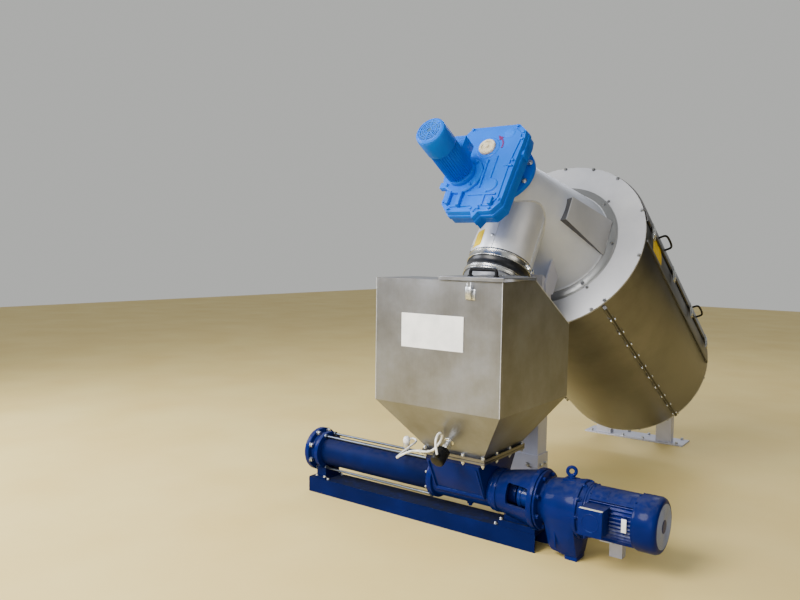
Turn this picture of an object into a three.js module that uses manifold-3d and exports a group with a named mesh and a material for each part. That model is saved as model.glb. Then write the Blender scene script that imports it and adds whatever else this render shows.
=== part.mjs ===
// Rotary screw thickener with its sludge hopper and progressing cavity pump.
// Millimetres, +Z up. X runs along the pump, Y runs downhill along the thickener,
// and z = 0 is the floor that the machine stands on.
import * as THREE from 'three';
import { mergeVertices } from 'three/addons/utils/BufferGeometryUtils.js';
import Module from 'manifold-3d';

// The gap left between two pieces that touch on the real machine.
const GAP = 0.3;

// Thickener axis: tilt, centre of the front plate and stations measured downhill from it.
const TILT_DEG = 30.96;
const PLATE_Y = 734.5;
const PLATE_Z = 1315;
const DRUM_R = 491.5;
const DRUM_END = 1484;
const PLATE_R = 491.5;
const PLATE_T = 12;
const RING_R = 348;
const RING_T = 15;
const CONE_TOP_S = -590;
const CONE_TOP_R = 108;
const CONE_MOUTH_R = 306;

// Discharge chute from the cone down to the hopper.
const CHUTE_S = -405;
const CHUTE_R = 147;
const CHUTE_END_N = -378;
const CLAMP_R = 154;
const CLAMP_T = 25;
const SLEEVE_R = 151;
const SLEEVE_T = 42;

// Drive on the uphill end.
const FLANGE_R = 150;
const FLANGE_T = 22;
const NECK_R = 112;
const CASE_BACK_S = -690;
const CASE_FRONT_S = -780;
const CAP_R = 40;
const CAP_FRONT_S = -806;
const MOTOR_X = -75;
const MOTOR_N = -143;
const MOTOR_R = 66;
const MOTOR_BACK_S = -1010;
const FAN_R = 69;
const FAN_BACK_S = -1106;

// Sludge hopper: a straight box with a sloping rear top, then four tapers.
const HOPPER_HALF_W = 312;
const HOPPER_FRONT_Y = -326;
const HOPPER_BACK_Y = 291;
const HOPPER_TOP_Z = 1148;
const HOPPER_SLOPE_Y = -47;
const HOPPER_TAPER_Z = 615;
const HOPPER_SHEET = 5;
const OUTLET_HALF_X = 146;
const OUTLET_HALF_Y = 163;
const OUTLET_FLANGE_HALF_X = 161;
const OUTLET_FLANGE_HALF_Y = 180;
const OUTLET_Z = 379;
const OUTLET_FLANGE_T = 12;

// Progressing cavity pump.
const PUMP_Z = 217;
const DISCHARGE_X = -963;
const PUMP_FLANGE_R = 110;
const STATOR_R = 67;
const STATOR_START_X = -886;
const INLET_START_X = -200;
const INLET_END_X = 144;
const LANTERN_END_X = 357;
const LANTERN_R0 = 88;
const LANTERN_R1 = 127;
const LANTERN_RING_R = 132;
const GEAR_START_X = 384;
const GEAR_END_X = 570;
const SHAFT_R = 26;
const PUMP_MOTOR_R = 107;
const PUMP_FAN_START_X = 786;
const PUMP_FAN_END_X = 868;
const PUMP_FAN_R = 112;

// Pump skid.
const SKID_X0 = -972;
const SKID_X1 = 348;
const SKID_HALF_Y = 66;
const SKID_H = 78;
const SKID_WALL = 6;

// Supports of the thickener.
const COLUMN_HALF_X = 128;
const COLUMN_Y0 = 378;
const COLUMN_Y1 = 475;
const COLUMN_WALL = 5;
const COLUMN_TOP_N = -322;
const LEG_X0 = 160;
const LEG_X1 = 262;
const LEG_Y0 = 2085;
const LEG_Y1 = 2145;
const LEG_TOP_Z = 735;

const wasm = await Module();
wasm.setup();

const tilt = THREE.MathUtils.degToRad(TILT_DEG);

// Materials.
const finish = (name, color, metalness, roughness) => {
  const material = new THREE.MeshStandardMaterial({ color, metalness, roughness });
  material.name = name;
  return material;
};
const stainless = finish('brushed stainless steel', 0xa9a79d, 0.9, 0.38);
const brightSteel = finish('bright stainless steel', 0xc9c9c4, 0.95, 0.25);
const galvanised = finish('galvanised steel', 0xa4a8aa, 0.8, 0.5);
const lightBlue = finish('light blue paint', 0x2a8fe0, 0.0, 0.4);
const darkBlue = finish('dark blue paint', 0x14275e, 0.0, 0.35);
const blackRubber = finish('black rubber', 0x1b1c1e, 0.0, 0.75);
const blackPlastic = finish('black plastic', 0x17181a, 0.0, 0.45);
const beigePlastic = finish('beige plastic', 0xd8d2b8, 0.0, 0.5);
const whitePlate = finish('white plate', 0xe9e9e6, 0.0, 0.45);
const steelShaft = finish('machined steel', 0x9a9c9e, 0.9, 0.3);

// A closed solid from a three.js geometry.
const solid = (geometry) => {
  const bare = new THREE.BufferGeometry();
  bare.setAttribute('position', geometry.getAttribute('position').clone());
  if (geometry.index) {
    bare.setIndex(geometry.index.clone());
  }
  const merged = mergeVertices(bare, 1e-4);
  const vertProperties = new Float32Array(merged.getAttribute('position').array);
  const triVerts = new Uint32Array(merged.index.array);
  return new wasm.Manifold(new wasm.Mesh({ numProp: 3, vertProperties, triVerts }));
};

const geometryOf = (body) => {
  const mesh = body.getMesh();
  const geometry = new THREE.BufferGeometry();
  geometry.setAttribute('position', new THREE.BufferAttribute(new Float32Array(mesh.vertProperties), 3));
  geometry.setIndex(new THREE.BufferAttribute(new Uint32Array(mesh.triVerts), 1));
  const flat = geometry.toNonIndexed();
  flat.computeVertexNormals();
  return flat;
};

const box = (x0, x1, y0, y1, z0, z1) => {
  const geometry = new THREE.BoxGeometry(x1 - x0, y1 - y0, z1 - z0);
  geometry.translate((x0 + x1) / 2, (y0 + y1) / 2, (z0 + z1) / 2);
  return solid(geometry);
};

// A disc or bar of round section along X, along Y or along Z.
const roundX = (radius, x0, x1, y, z, sides = 40) => {
  const geometry = new THREE.CylinderGeometry(radius, radius, x1 - x0, sides);
  geometry.rotateZ(Math.PI / 2);
  geometry.translate((x0 + x1) / 2, y, z);
  return solid(geometry);
};
const roundY = (radius, y0, y1, x, z, sides = 48) => {
  const geometry = new THREE.CylinderGeometry(radius, radius, y1 - y0, sides);
  geometry.translate(x, (y0 + y1) / 2, z);
  return solid(geometry);
};
const roundZ = (radius, z0, z1, x, y, sides = 40) => {
  const geometry = new THREE.CylinderGeometry(radius, radius, z1 - z0, sides);
  geometry.rotateX(Math.PI / 2);
  geometry.translate(x, y, (z0 + z1) / 2);
  return solid(geometry);
};

// The same bar as a bore that a bar of that radius turns in, with its running gap.
const RUNNING_GAP = 0.06;
const boreX = (radius, x0, x1, y, z, sides = 40) => roundX(
  (radius + RUNNING_GAP) / Math.cos(Math.PI / sides), x0, x1, y, z, sides);

// A cone about a line along Y from radius r0 at y0 to radius r1 at y1, and one along X.
const coneY = (r0, y0, r1, y1, sides = 64, x = 0, z = 0) => {
  const geometry = new THREE.CylinderGeometry(r1, r0, y1 - y0, sides);
  geometry.translate(x, (y0 + y1) / 2, z);
  return solid(geometry);
};
const coneX = (r0, x0, r1, x1, z, sides = 40) => {
  const geometry = new THREE.CylinderGeometry(r0, r1, x1 - x0, sides);
  geometry.rotateZ(Math.PI / 2);
  geometry.translate((x0 + x1) / 2, 0, z);
  return solid(geometry);
};

// A prism whose outline is drawn in X and Z and which runs along Y.
const prismXZ = (points, y0, y1) => {
  const shape = new THREE.Shape(points.map(([x, z]) => new THREE.Vector2(x, z)));
  const geometry = new THREE.ExtrudeGeometry(shape, { depth: y1 - y0, bevelEnabled: false });
  geometry.rotateX(Math.PI / 2);
  geometry.translate(0, y1, 0);
  return solid(geometry);
};

// A prism whose outline is drawn in Y and Z and which runs along X.
const prismYZ = (points, x0, x1) => {
  const shape = new THREE.Shape(points.map(([y, z]) => new THREE.Vector2(y, z)));
  const geometry = new THREE.ExtrudeGeometry(shape, { depth: x1 - x0, bevelEnabled: false });
  geometry.applyMatrix4(new THREE.Matrix4().set(0, 0, 1, x0, 1, 0, 0, 0, 0, 1, 0, 0, 0, 0, 0, 1));
  return solid(geometry);
};

// A frustum between two rectangles, lower at z0 and upper at z1.
const frustum = (low, high, z0, z1) => {
  const corners = ([x0, x1, y0, y1], z) => [[x0, y0, z], [x1, y0, z], [x1, y1, z], [x0, y1, z]];
  const points = [...corners(low, z0), ...corners(high, z1)];
  const faces = [
    [0, 2, 1], [0, 3, 2], [4, 5, 6], [4, 6, 7],
    [0, 1, 5], [0, 5, 4], [1, 2, 6], [1, 6, 5],
    [2, 3, 7], [2, 7, 6], [3, 0, 4], [3, 4, 7],
  ];
  const geometry = new THREE.BufferGeometry();
  geometry.setAttribute('position', new THREE.Float32BufferAttribute(points.flat(), 3));
  geometry.setIndex(faces.flat());
  return solid(geometry);
};

// A round bar bent along a line of points.
const bentBar = (points, radius, sides = 10, steps = 24) => {
  const path = new THREE.CatmullRomCurve3(points.map((p) => new THREE.Vector3(...p)), false, 'centripetal');
  const ring = new THREE.Shape();
  for (let i = 0; i < sides; i += 1) {
    const turn = (i / sides) * 2 * Math.PI;
    const x = radius * Math.cos(turn);
    const y = radius * Math.sin(turn);
    if (i === 0) {
      ring.moveTo(x, y);
    } else {
      ring.lineTo(x, y);
    }
  }
  ring.closePath();
  return solid(new THREE.ExtrudeGeometry(ring, { steps, extrudePath: path, bevelEnabled: false }));
};

const rotated = (body, x, y, z) => body.rotate([x, y, z]);
const moved = (body, x, y, z) => body.translate([x, y, z]);

// Thickener pieces are drawn with Y as the station along the axis and Z across it,
// then tilted about the centre of the front plate.
const placed = (body) => moved(rotated(body, -TILT_DEG, 0, 0), 0, PLATE_Y, PLATE_Z);
const cosT = Math.cos(tilt);
const sinT = Math.sin(tilt);

const part = new THREE.Group();
part.name = 'rotary_screw_thickener';
// The part's origin lies on the floor below the column, so the drawing moves back by this.
const ORIGIN_Y = (COLUMN_Y0 + COLUMN_Y1) / 2;
const add = (name, body, material) => {
  const mesh = new THREE.Mesh(geometryOf(moved(body, 0, -ORIGIN_Y, 0)), material);
  mesh.name = name;
  part.add(mesh);
};

// Drum housing with its end plates.
const drum = roundY(DRUM_R, PLATE_T + GAP, DRUM_END, 0, 0, 96);
add('drum_housing', placed(drum), stainless);
add('front_plate', placed(roundY(PLATE_R, 0, PLATE_T, 0, 0, 96)), stainless);
add('lower_end_plate', placed(roundY(DRUM_R, DRUM_END + GAP, DRUM_END + PLATE_T, 0, 0, 96)), stainless);

// Hinged cover along the top of the drum, and the strip below its edge.
const COVER_IN = DRUM_R + GAP;
const COVER_OUT = DRUM_R + 10;
const COVER_S0 = 22;
const COVER_S1 = 1462;
const COVER_ANGLE = 18;
const ringSector = (r0, r1, a0, a1, y0, y1, steps) => {
  const points = [];
  for (let i = 0; i <= steps; i += 1) {
    const a = THREE.MathUtils.degToRad(a0 + ((a1 - a0) * i) / steps);
    points.push([r1 * Math.cos(a), r1 * Math.sin(a)]);
  }
  for (let i = steps; i >= 0; i -= 1) {
    const a = THREE.MathUtils.degToRad(a0 + ((a1 - a0) * i) / steps);
    points.push([r0 * Math.cos(a), r0 * Math.sin(a)]);
  }
  return prismXZ(points, y0, y1);
};
const halfStep = 1 / Math.cos(Math.PI / 96);
const coverTop = 180 - COVER_ANGLE;
add('top_cover', placed(ringSector(COVER_IN * halfStep, COVER_OUT, COVER_ANGLE, coverTop, COVER_S0, COVER_S1, 48)),
  stainless);
for (const [side, name] of [[1, 'right'], [-1, 'left']]) {
  const rail = ringSector(DRUM_R * halfStep + GAP, DRUM_R + 8, 3.2, 4.8, COVER_S0, COVER_S1, 2);
  add(`cover_rail_${name}`, placed(side > 0 ? rail : rail.mirror([1, 0, 0])), stainless);
  const seam = ringSector(DRUM_R * halfStep + GAP, DRUM_R + 22, -44.2, -42.4, COVER_S0, COVER_S1, 2);
  add(`seam_flange_${name}`, placed(side > 0 ? seam : seam.mirror([1, 0, 0])), stainless);
}
const HANDLE_ANGLE = 25;
const handleDir = THREE.MathUtils.degToRad(HANDLE_ANGLE);
for (const [index, s] of [[1, 334], [2, 1120]]) {
  const foot = COVER_OUT + GAP;
  const crown = COVER_OUT + 38;
  const at = (r, y) => [r * Math.cos(handleDir), y, r * Math.sin(handleDir)];
  const bar = bentBar([at(foot, s - 62), at(crown - 8, s - 60), at(crown, s - 48), at(crown, s + 48),
    at(crown - 8, s + 60), at(foot, s + 62)], 6, 10, 30);
  add(`cover_handle_${index}`, placed(bar), blackPlastic);
}

// Transition: bolted ring and cone up to the drive.
const cone = coneY(CONE_TOP_R, CONE_TOP_S, CONE_MOUTH_R, -RING_T - GAP, 72);
const coneSpace = coneY(CONE_TOP_R + 0.2, CONE_TOP_S - 1, CONE_MOUTH_R + 0.9, -RING_T - GAP + 1, 72);
add('transition_ring', placed(roundY(RING_R, -RING_T, -GAP, 0, 0, 72)), stainless);
add('transition_cone', placed(cone), stainless);

// Raised inspection cover on the right-hand side of the cone.
const hatchPoints = [
  [150, -335, -73], [228, -335, -73], [228, -335, 55], [150, -335, 55],
  [150, -20, -95], [289, -20, -95], [270, -20, 120], [150, -20, 120],
];
const hatchGeometry = new THREE.BufferGeometry();
hatchGeometry.setAttribute('position', new THREE.Float32BufferAttribute(hatchPoints.flat(), 3));
hatchGeometry.setIndex([
  0, 1, 2, 0, 2, 3, 4, 6, 5, 4, 7, 6, 0, 5, 1, 0, 4, 5,
  1, 5, 6, 1, 6, 2, 2, 6, 7, 2, 7, 3, 3, 7, 4, 3, 4, 0,
]);
const hatch = solid(hatchGeometry).subtract(coneSpace);
add('inspection_cover', placed(hatch), stainless);

// Discharge chute, clamps and rubber sleeve down to the hopper.
const chuteDisc = (radius, n0, n1) => roundZ(radius, n0, n1, 0, CHUTE_S, 64);
const UPPER_CLAMP_N = CHUTE_END_N - CLAMP_T;
const SLEEVE_END_N = UPPER_CLAMP_N - GAP - SLEEVE_T;
const LOWER_CLAMP_N = SLEEVE_END_N - GAP - CLAMP_T;
const chute = chuteDisc(CHUTE_R, CHUTE_END_N + GAP, -20).subtract(coneSpace);
add('discharge_chute', placed(chute), stainless);
add('upper_sleeve_clamp', placed(chuteDisc(CLAMP_R, UPPER_CLAMP_N, CHUTE_END_N)), brightSteel);
add('rubber_sleeve', placed(chuteDisc(SLEEVE_R, SLEEVE_END_N, UPPER_CLAMP_N - GAP)), blackRubber);
add('lower_sleeve_clamp', placed(chuteDisc(CLAMP_R, LOWER_CLAMP_N, SLEEVE_END_N - GAP)), brightSteel);

// Drive: flange, parallel shaft gear case, cap, motor, fan cover and terminal box.
add('drive_flange', placed(roundY(FLANGE_R, CONE_TOP_S - GAP - FLANGE_T, CONE_TOP_S - GAP, 0, 0, 56)), lightBlue);
const neckEnd = CONE_TOP_S - GAP - FLANGE_T - GAP;
const caseOutline = [
  [-158, 92], [-126, 136], [118, 136], [160, 98], [165, 60], [158, -60], [150, -282], [112, -326],
  [52, -326], [33, -360], [14, -326], [-112, -326], [-150, -284], [-160, -60],
];
const PAD_OUT_X = -176;
const gearCase = prismXZ(caseOutline, CASE_FRONT_S, CASE_BACK_S)
  .add(roundY(NECK_R, CASE_BACK_S - 5, neckEnd, 0, 0, 48))
  .add(roundY(98, CASE_FRONT_S - 22, CASE_FRONT_S + 5, MOTOR_X, MOTOR_N, 32))
  .add(box(PAD_OUT_X, -100, CASE_FRONT_S - 22, CASE_FRONT_S + 5, MOTOR_N - 70, MOTOR_N - 40));
add('drive_gear_case', placed(gearCase), lightBlue);
add('shaft_cap', placed(roundY(CAP_R, CAP_FRONT_S, CASE_FRONT_S - GAP, 0, 6, 40)), beigePlastic);
const MOTOR_START_S = CASE_FRONT_S - 22 - GAP;
add('drive_motor', placed(roundY(MOTOR_R, MOTOR_BACK_S, MOTOR_START_S, MOTOR_X, MOTOR_N, 40)), lightBlue);
const driveFan = roundY(FAN_R, FAN_BACK_S + 16, MOTOR_BACK_S - GAP, MOTOR_X, MOTOR_N, 40)
  .add(coneY(FAN_R - 11, FAN_BACK_S, FAN_R, FAN_BACK_S + 16, 40, MOTOR_X, MOTOR_N));
add('drive_fan_cover', placed(driveFan), lightBlue);
const driveBox = box(MOTOR_X - 12, MOTOR_X + 46, -925, -850, MOTOR_N + 40, MOTOR_N + 112)
  .subtract(roundY(MOTOR_R + 0.5, -960, -820, MOTOR_X, MOTOR_N, 40));
add('drive_terminal_box', placed(driveBox), lightBlue);

// Upper support: column with foot, head plate and two side brackets.
const columnTopAt = (y) => {
  const n = COLUMN_TOP_N;
  const s = (y - PLATE_Y - n * sinT) / cosT;
  return PLATE_Z - s * sinT + n * cosT;
};
const columnShape = (inset, low) => [
  [COLUMN_Y0 + inset, low], [COLUMN_Y1 - inset, low],
  [COLUMN_Y1 - inset, columnTopAt(COLUMN_Y1 - inset)], [COLUMN_Y0 + inset, columnTopAt(COLUMN_Y0 + inset)],
];
const columnHollow = prismYZ([
  [COLUMN_Y0 + COLUMN_WALL, 0], [COLUMN_Y1 - COLUMN_WALL, 0], [COLUMN_Y1 - COLUMN_WALL, 1300],
  [COLUMN_Y0 + COLUMN_WALL, 1300]], -COLUMN_HALF_X + COLUMN_WALL, COLUMN_HALF_X - COLUMN_WALL);
const FOOT_TOP_Z = 282;
const FOOT_WALL = 6;
const column = prismYZ(columnShape(0, 40), -COLUMN_HALF_X, COLUMN_HALF_X).subtract(columnHollow);
add('support_column', column, stainless);
const BASE_T = 10;
const footOuter = COLUMN_HALF_X + GAP + FOOT_WALL;
const foot = box(-footOuter, footOuter, COLUMN_Y0 - GAP - FOOT_WALL, COLUMN_Y1 + GAP + FOOT_WALL,
  BASE_T + GAP, FOOT_TOP_Z)
  .subtract(box(-COLUMN_HALF_X - GAP, COLUMN_HALF_X + GAP, COLUMN_Y0 - GAP, COLUMN_Y1 + GAP, 0, 400));
add('column_foot', foot, stainless);
add('column_base_plate', box(-180, 180, COLUMN_Y0 - 50, COLUMN_Y1 + 50, 0, BASE_T), stainless);
const headLow = COLUMN_TOP_N + GAP;
const headS0 = (COLUMN_Y0 - PLATE_Y - COLUMN_TOP_N * sinT) / cosT;
const headS1 = (COLUMN_Y1 - PLATE_Y - COLUMN_TOP_N * sinT) / cosT;
const head = box(-COLUMN_HALF_X, COLUMN_HALF_X, headS0, headS1, headLow, headLow + 8);
add('column_head_plate', placed(head), stainless);
const BRACKET_T = 8;
for (const [side, name] of [[1, 'right'], [-1, 'left']]) {
  const outline = [[-188, -120], [-188, -340], [-150, -384], [-90, -346], [-90, -120]];
  const x0 = side > 0 ? COLUMN_HALF_X + GAP : -COLUMN_HALF_X - GAP - BRACKET_T;
  const plate = prismYZ(outline, x0, x0 + BRACKET_T).subtract(coneSpace);
  add(`column_bracket_${name}`, placed(plate), stainless);
}

// Lower support: floor plate and two legs welded to the lower end plate.
add('lower_base_plate', box(-345, 345, 2070, 2240, 0, BASE_T), stainless);
const drumSpace = placed(roundY(DRUM_R + 12, -50, DRUM_END + PLATE_T + GAP, 0, 0, 96));
for (const [side, name] of [[1, 'right'], [-1, 'left']]) {
  const x0 = side > 0 ? LEG_X0 : -LEG_X1;
  const leg = box(x0, x0 + LEG_X1 - LEG_X0, LEG_Y0, LEG_Y1, BASE_T + GAP, LEG_TOP_Z).subtract(drumSpace);
  add(`lower_leg_${name}`, leg, stainless);
}

// Inlet and filtrate stubs on the lower end plate.
const stubStart = DRUM_END + PLATE_T + GAP;
const inlet = roundY(60, stubStart, stubStart + 90, 110, 300, 36)
  .add(roundY(78, stubStart + 76, stubStart + 90, 110, 300, 36));
add('inlet_stub', placed(inlet), stainless);

// Hopper shell.
const slopeDrop = (HOPPER_BACK_Y - HOPPER_SLOPE_Y) * Math.tan(tilt);
const hopperOutside = (inset, top) => {
  const shape = [
    [HOPPER_FRONT_Y + inset, HOPPER_TAPER_Z], [HOPPER_BACK_Y - inset, HOPPER_TAPER_Z],
    [HOPPER_BACK_Y - inset, HOPPER_TOP_Z - slopeDrop - inset * 0.55],
    [HOPPER_SLOPE_Y - inset * 0.28, HOPPER_TOP_Z - inset], [HOPPER_FRONT_Y + inset, HOPPER_TOP_Z - inset],
  ];
  const straight = prismYZ(shape, -HOPPER_HALF_W + inset, HOPPER_HALF_W - inset);
  const taper = frustum(
    [-OUTLET_HALF_X + inset, OUTLET_HALF_X - inset, -OUTLET_HALF_Y + inset, OUTLET_HALF_Y - inset],
    [-HOPPER_HALF_W + inset, HOPPER_HALF_W - inset, HOPPER_FRONT_Y + inset, HOPPER_BACK_Y - inset],
    OUTLET_Z + OUTLET_FLANGE_T + top, HOPPER_TAPER_Z + 0.01);
  return straight.add(taper);
};
const LID_X0 = 17;
const LID_BACK_Y = -62;
const hatchHole = box(LID_X0 + 24, HOPPER_HALF_W - 24, HOPPER_FRONT_Y + 24, LID_BACK_Y - 16,
  HOPPER_TOP_Z - 30, HOPPER_TOP_Z + 30);
const outletHole = box(-OUTLET_HALF_X + HOPPER_SHEET, OUTLET_HALF_X - HOPPER_SHEET,
  -OUTLET_HALF_Y + HOPPER_SHEET, OUTLET_HALF_Y - HOPPER_SHEET, OUTLET_Z - 10, OUTLET_Z + 40);
const spigotOut = placed(chuteDisc(CHUTE_R, -560, LOWER_CLAMP_N - GAP));
const spigotIn = placed(chuteDisc(CHUTE_R - 6, -600, -400));
let hopper = hopperOutside(0, 0).subtract(hopperOutside(HOPPER_SHEET, -1));
const aboveSlope = prismYZ([[HOPPER_SLOPE_Y, HOPPER_TOP_Z], [HOPPER_BACK_Y, HOPPER_TOP_Z - slopeDrop],
  [HOPPER_BACK_Y + 200, HOPPER_TOP_Z], [HOPPER_SLOPE_Y, HOPPER_TOP_Z + 300]], -200, 200);
const spigot = spigotOut.intersect(moved(aboveSlope, 0, -2, -2)).subtract(spigotIn);
hopper = hopper.subtract(spigotIn).add(spigot).subtract(hatchHole).subtract(outletHole);
add('hopper_body', hopper, stainless);
const flangeHole = box(-OUTLET_HALF_X + HOPPER_SHEET, OUTLET_HALF_X - HOPPER_SHEET,
  -OUTLET_HALF_Y + HOPPER_SHEET, OUTLET_HALF_Y - HOPPER_SHEET, 300, 420);
add('hopper_flange', box(-OUTLET_FLANGE_HALF_X, OUTLET_FLANGE_HALF_X, -OUTLET_FLANGE_HALF_Y,
  OUTLET_FLANGE_HALF_Y, OUTLET_Z, OUTLET_Z + OUTLET_FLANGE_T - GAP).subtract(flangeHole), stainless);
add('sign_plate', box(-172, 138, HOPPER_FRONT_Y - 2.3, HOPPER_FRONT_Y - GAP, 861, 1004), whitePlate);

// Hopper lid with its handle, hinge and toggle latch.
const LID_T = 4;
const LID_LIFT = 1;
const LID_Z = HOPPER_TOP_Z + LID_LIFT;
const lidSkin = box(LID_X0, HOPPER_HALF_W + 10, HOPPER_FRONT_Y - 10, LID_BACK_Y, LID_Z, LID_Z + LID_T);
const lidFront = box(LID_X0, HOPPER_HALF_W + 10, HOPPER_FRONT_Y - 10, HOPPER_FRONT_Y - 6, LID_Z - 16, LID_Z + 1);
const lidSide = box(HOPPER_HALF_W + 6, HOPPER_HALF_W + 10, HOPPER_FRONT_Y - 10, LID_BACK_Y, LID_Z - 16, LID_Z + 1);
const HINGE_PIN_R = 4;
const HINGE_R = 9;
const HINGE_Z = LID_Z + HINGE_R;
const HINGE_Y = LID_BACK_Y + HINGE_R;
const HINGE_BLOCKS = [[50, 66], [156, 172], [262, 278]];
const HINGE_KNUCKLES = [[72, 150], [178, 256]];
let lid = lidSkin.add(lidFront).add(lidSide);
for (const [x0, x1] of HINGE_KNUCKLES) {
  lid = lid.add(roundX(HINGE_R, x0, x1, HINGE_Y, HINGE_Z, 24)
    .add(box(x0, x1, LID_BACK_Y - 2, HINGE_Y, LID_Z, LID_Z + LID_T))
    .subtract(boreX(HINGE_PIN_R, x0 - 5, x1 + 5, HINGE_Y, HINGE_Z, 24)));
}
add('hopper_lid', lid, stainless);
let hinge = roundX(HINGE_PIN_R, HINGE_BLOCKS[0][0], HINGE_BLOCKS[2][1], HINGE_Y, HINGE_Z, 24);
for (const [x0, x1] of HINGE_BLOCKS) {
  hinge = hinge.add(roundX(HINGE_R - 1, x0, x1, HINGE_Y, HINGE_Z, 24))
    .add(box(x0, x1, HINGE_Y - 7, HINGE_Y + 5, HOPPER_TOP_Z + GAP, HINGE_Z));
}
add('lid_hinge', hinge, brightSteel);
const lidTop = LID_Z + LID_T + GAP;
const lidHandle = bentBar([[98, -215, lidTop], [99, -215, lidTop + 24], [108, -215, lidTop + 32],
  [212, -215, lidTop + 32], [221, -215, lidTop + 24], [222, -215, lidTop]], 7, 10, 30);
add('lid_handle', lidHandle, blackPlastic);
const latch = box(146, 190, HOPPER_FRONT_Y - 10, HOPPER_FRONT_Y - GAP, 1074, 1112)
  .add(box(154, 182, HOPPER_FRONT_Y - 24, HOPPER_FRONT_Y - 9, 1080, 1126));
add('lid_latch', latch, brightSteel);

// Level sensor on the front taper of the hopper.
const taperSlope = Math.atan2(-OUTLET_HALF_Y - HOPPER_FRONT_Y, HOPPER_TAPER_Z - OUTLET_Z - OUTLET_FLANGE_T);
const SENSOR_X = 2;
const SENSOR_Z = 452;
const SENSOR_NECK = 50;
const taperY = (z) => -OUTLET_HALF_Y - (z - OUTLET_Z - OUTLET_FLANGE_T) * Math.tan(taperSlope);
const sensorAt = (body) => moved(rotated(body, 90 + THREE.MathUtils.radToDeg(taperSlope), 0, 0),
  SENSOR_X, taperY(SENSOR_Z), SENSOR_Z);
const sensorNut = sensorAt(roundZ(18, GAP, SENSOR_NECK, 0, 0, 24));
const sensorHead = sensorAt(roundZ(31, SENSOR_NECK + GAP, SENSOR_NECK + 68, 0, 0, 32));
add('level_sensor_socket', sensorNut, brightSteel);
add('level_sensor_head', sensorHead, blackPlastic);

// Pump: discharge flange with its adapter, stator, suction housing and lantern.
const dischargeEnd = roundX(PUMP_FLANGE_R, DISCHARGE_X, DISCHARGE_X + 28, 0, PUMP_Z, 48)
  .add(roundX(96, DISCHARGE_X + 25, STATOR_START_X - GAP, 0, PUMP_Z, 48))
  .subtract(roundX(50, DISCHARGE_X - 5, DISCHARGE_X + 40, 0, PUMP_Z, 32));
add('pump_discharge_flange', dischargeEnd, darkBlue);
add('pump_stator', roundX(STATOR_R, STATOR_START_X, INLET_START_X - GAP, 0, PUMP_Z, 32), darkBlue);
const inletTop = OUTLET_Z - GAP;
const inletBody = roundX(84, INLET_START_X, INLET_END_X, 0, PUMP_Z, 40)
  .add(roundX(98, INLET_START_X, INLET_START_X + 28, 0, PUMP_Z, 40))
  .add(frustum([-150, 114, -84, 84], [-154, 124, -165, 165], PUMP_Z - 30, inletTop - 30))
  .add(frustum([-154, 124, -165, 165], [-158, 158, -172, 172], inletTop - 30.1, inletTop - 12))
  .add(box(-OUTLET_FLANGE_HALF_X, OUTLET_FLANGE_HALF_X, -OUTLET_FLANGE_HALF_Y, OUTLET_FLANGE_HALF_Y,
    inletTop - 12.5, inletTop))
  .add(roundZ(13, PUMP_Z - 106, PUMP_Z - 70, -14, 0, 16))
  .subtract(box(-110, 95, -100, 100, PUMP_Z + 30, 500));
add('pump_suction_housing', inletBody, darkBlue);
const lanternX0 = INLET_END_X + GAP;
const LANTERN_WALL = 14;
const WINDOW_X0 = 222;
const WINDOW_X1 = 330;
const WINDOW_Z0 = PUMP_Z - 21;
const WINDOW_Z1 = PUMP_Z + 67;
let lantern = roundX(96, lanternX0, lanternX0 + 20, 0, PUMP_Z, 48)
  .add(coneX(LANTERN_R0, lanternX0, LANTERN_R1, LANTERN_END_X - 10, PUMP_Z, 48))
  .add(roundX(LANTERN_RING_R, LANTERN_END_X - 24, LANTERN_END_X, 0, PUMP_Z, 48))
  .subtract(coneX(LANTERN_R0 - LANTERN_WALL, lanternX0 + 14, LANTERN_R1 - LANTERN_WALL, LANTERN_END_X + 5,
    PUMP_Z, 48))
  .subtract(boreX(SHAFT_R, lanternX0 - 5, lanternX0 + 20, 0, PUMP_Z, 28));
for (const [y0, y1] of [[-200, -40], [40, 200]]) {
  lantern = lantern.subtract(box(WINDOW_X0, WINDOW_X1, y0, y1, WINDOW_Z0, WINDOW_Z1));
}
add('pump_lantern', lantern, darkBlue);
const coupling = roundX(SHAFT_R, lanternX0 + 2, LANTERN_END_X - 6, 0, PUMP_Z, 28)
  .add(roundX(58, LANTERN_END_X - 125, LANTERN_END_X - 34, 0, PUMP_Z, 32));
add('coupling_shaft', coupling, steelShaft);

// Pump drive: gear case with its foot, motor, fan cover, terminal box and motor support.
const gearX0 = LANTERN_END_X + GAP;
const GEAR_BODY_X1 = 536;
const GEAR_RING_X1 = 548;
const GEAR_FOOT_HALF_Y = 45;
const GEAR_FOOT_LOW_Z = 20;
// The case narrows from its round body down to the foot, so it is drawn as the hull of both.
const gearCore = wasm.Manifold.hull([
  coneX(103, GEAR_START_X + 14, 121, GEAR_BODY_X1, PUMP_Z, 48),
  prismXZ([[402, 90], [402, 46], [418, 30], [474, GEAR_FOOT_LOW_Z], [528, GEAR_FOOT_LOW_Z], [528, 90]],
    -GEAR_FOOT_HALF_Y, GEAR_FOOT_HALF_Y),
]);
const gear = roundX(90, gearX0, GEAR_START_X + 5, 0, PUMP_Z, 40)
  .add(roundX(126, gearX0, gearX0 + 11, 0, PUMP_Z, 48))
  .add(coneX(92, GEAR_START_X, 103, GEAR_START_X + 14.1, PUMP_Z, 48))
  .add(gearCore)
  .add(roundX(121, GEAR_BODY_X1 - 1, GEAR_RING_X1, 0, PUMP_Z, 48))
  .add(roundX(112, GEAR_RING_X1 - 1, GEAR_END_X, 0, PUMP_Z, 48))
  .add(box(474, 528, -GEAR_FOOT_HALF_Y + 6, GEAR_FOOT_HALF_Y - 6, 0, GEAR_FOOT_LOW_Z + 5));
add('pump_gear_case', gear, darkBlue);
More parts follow.
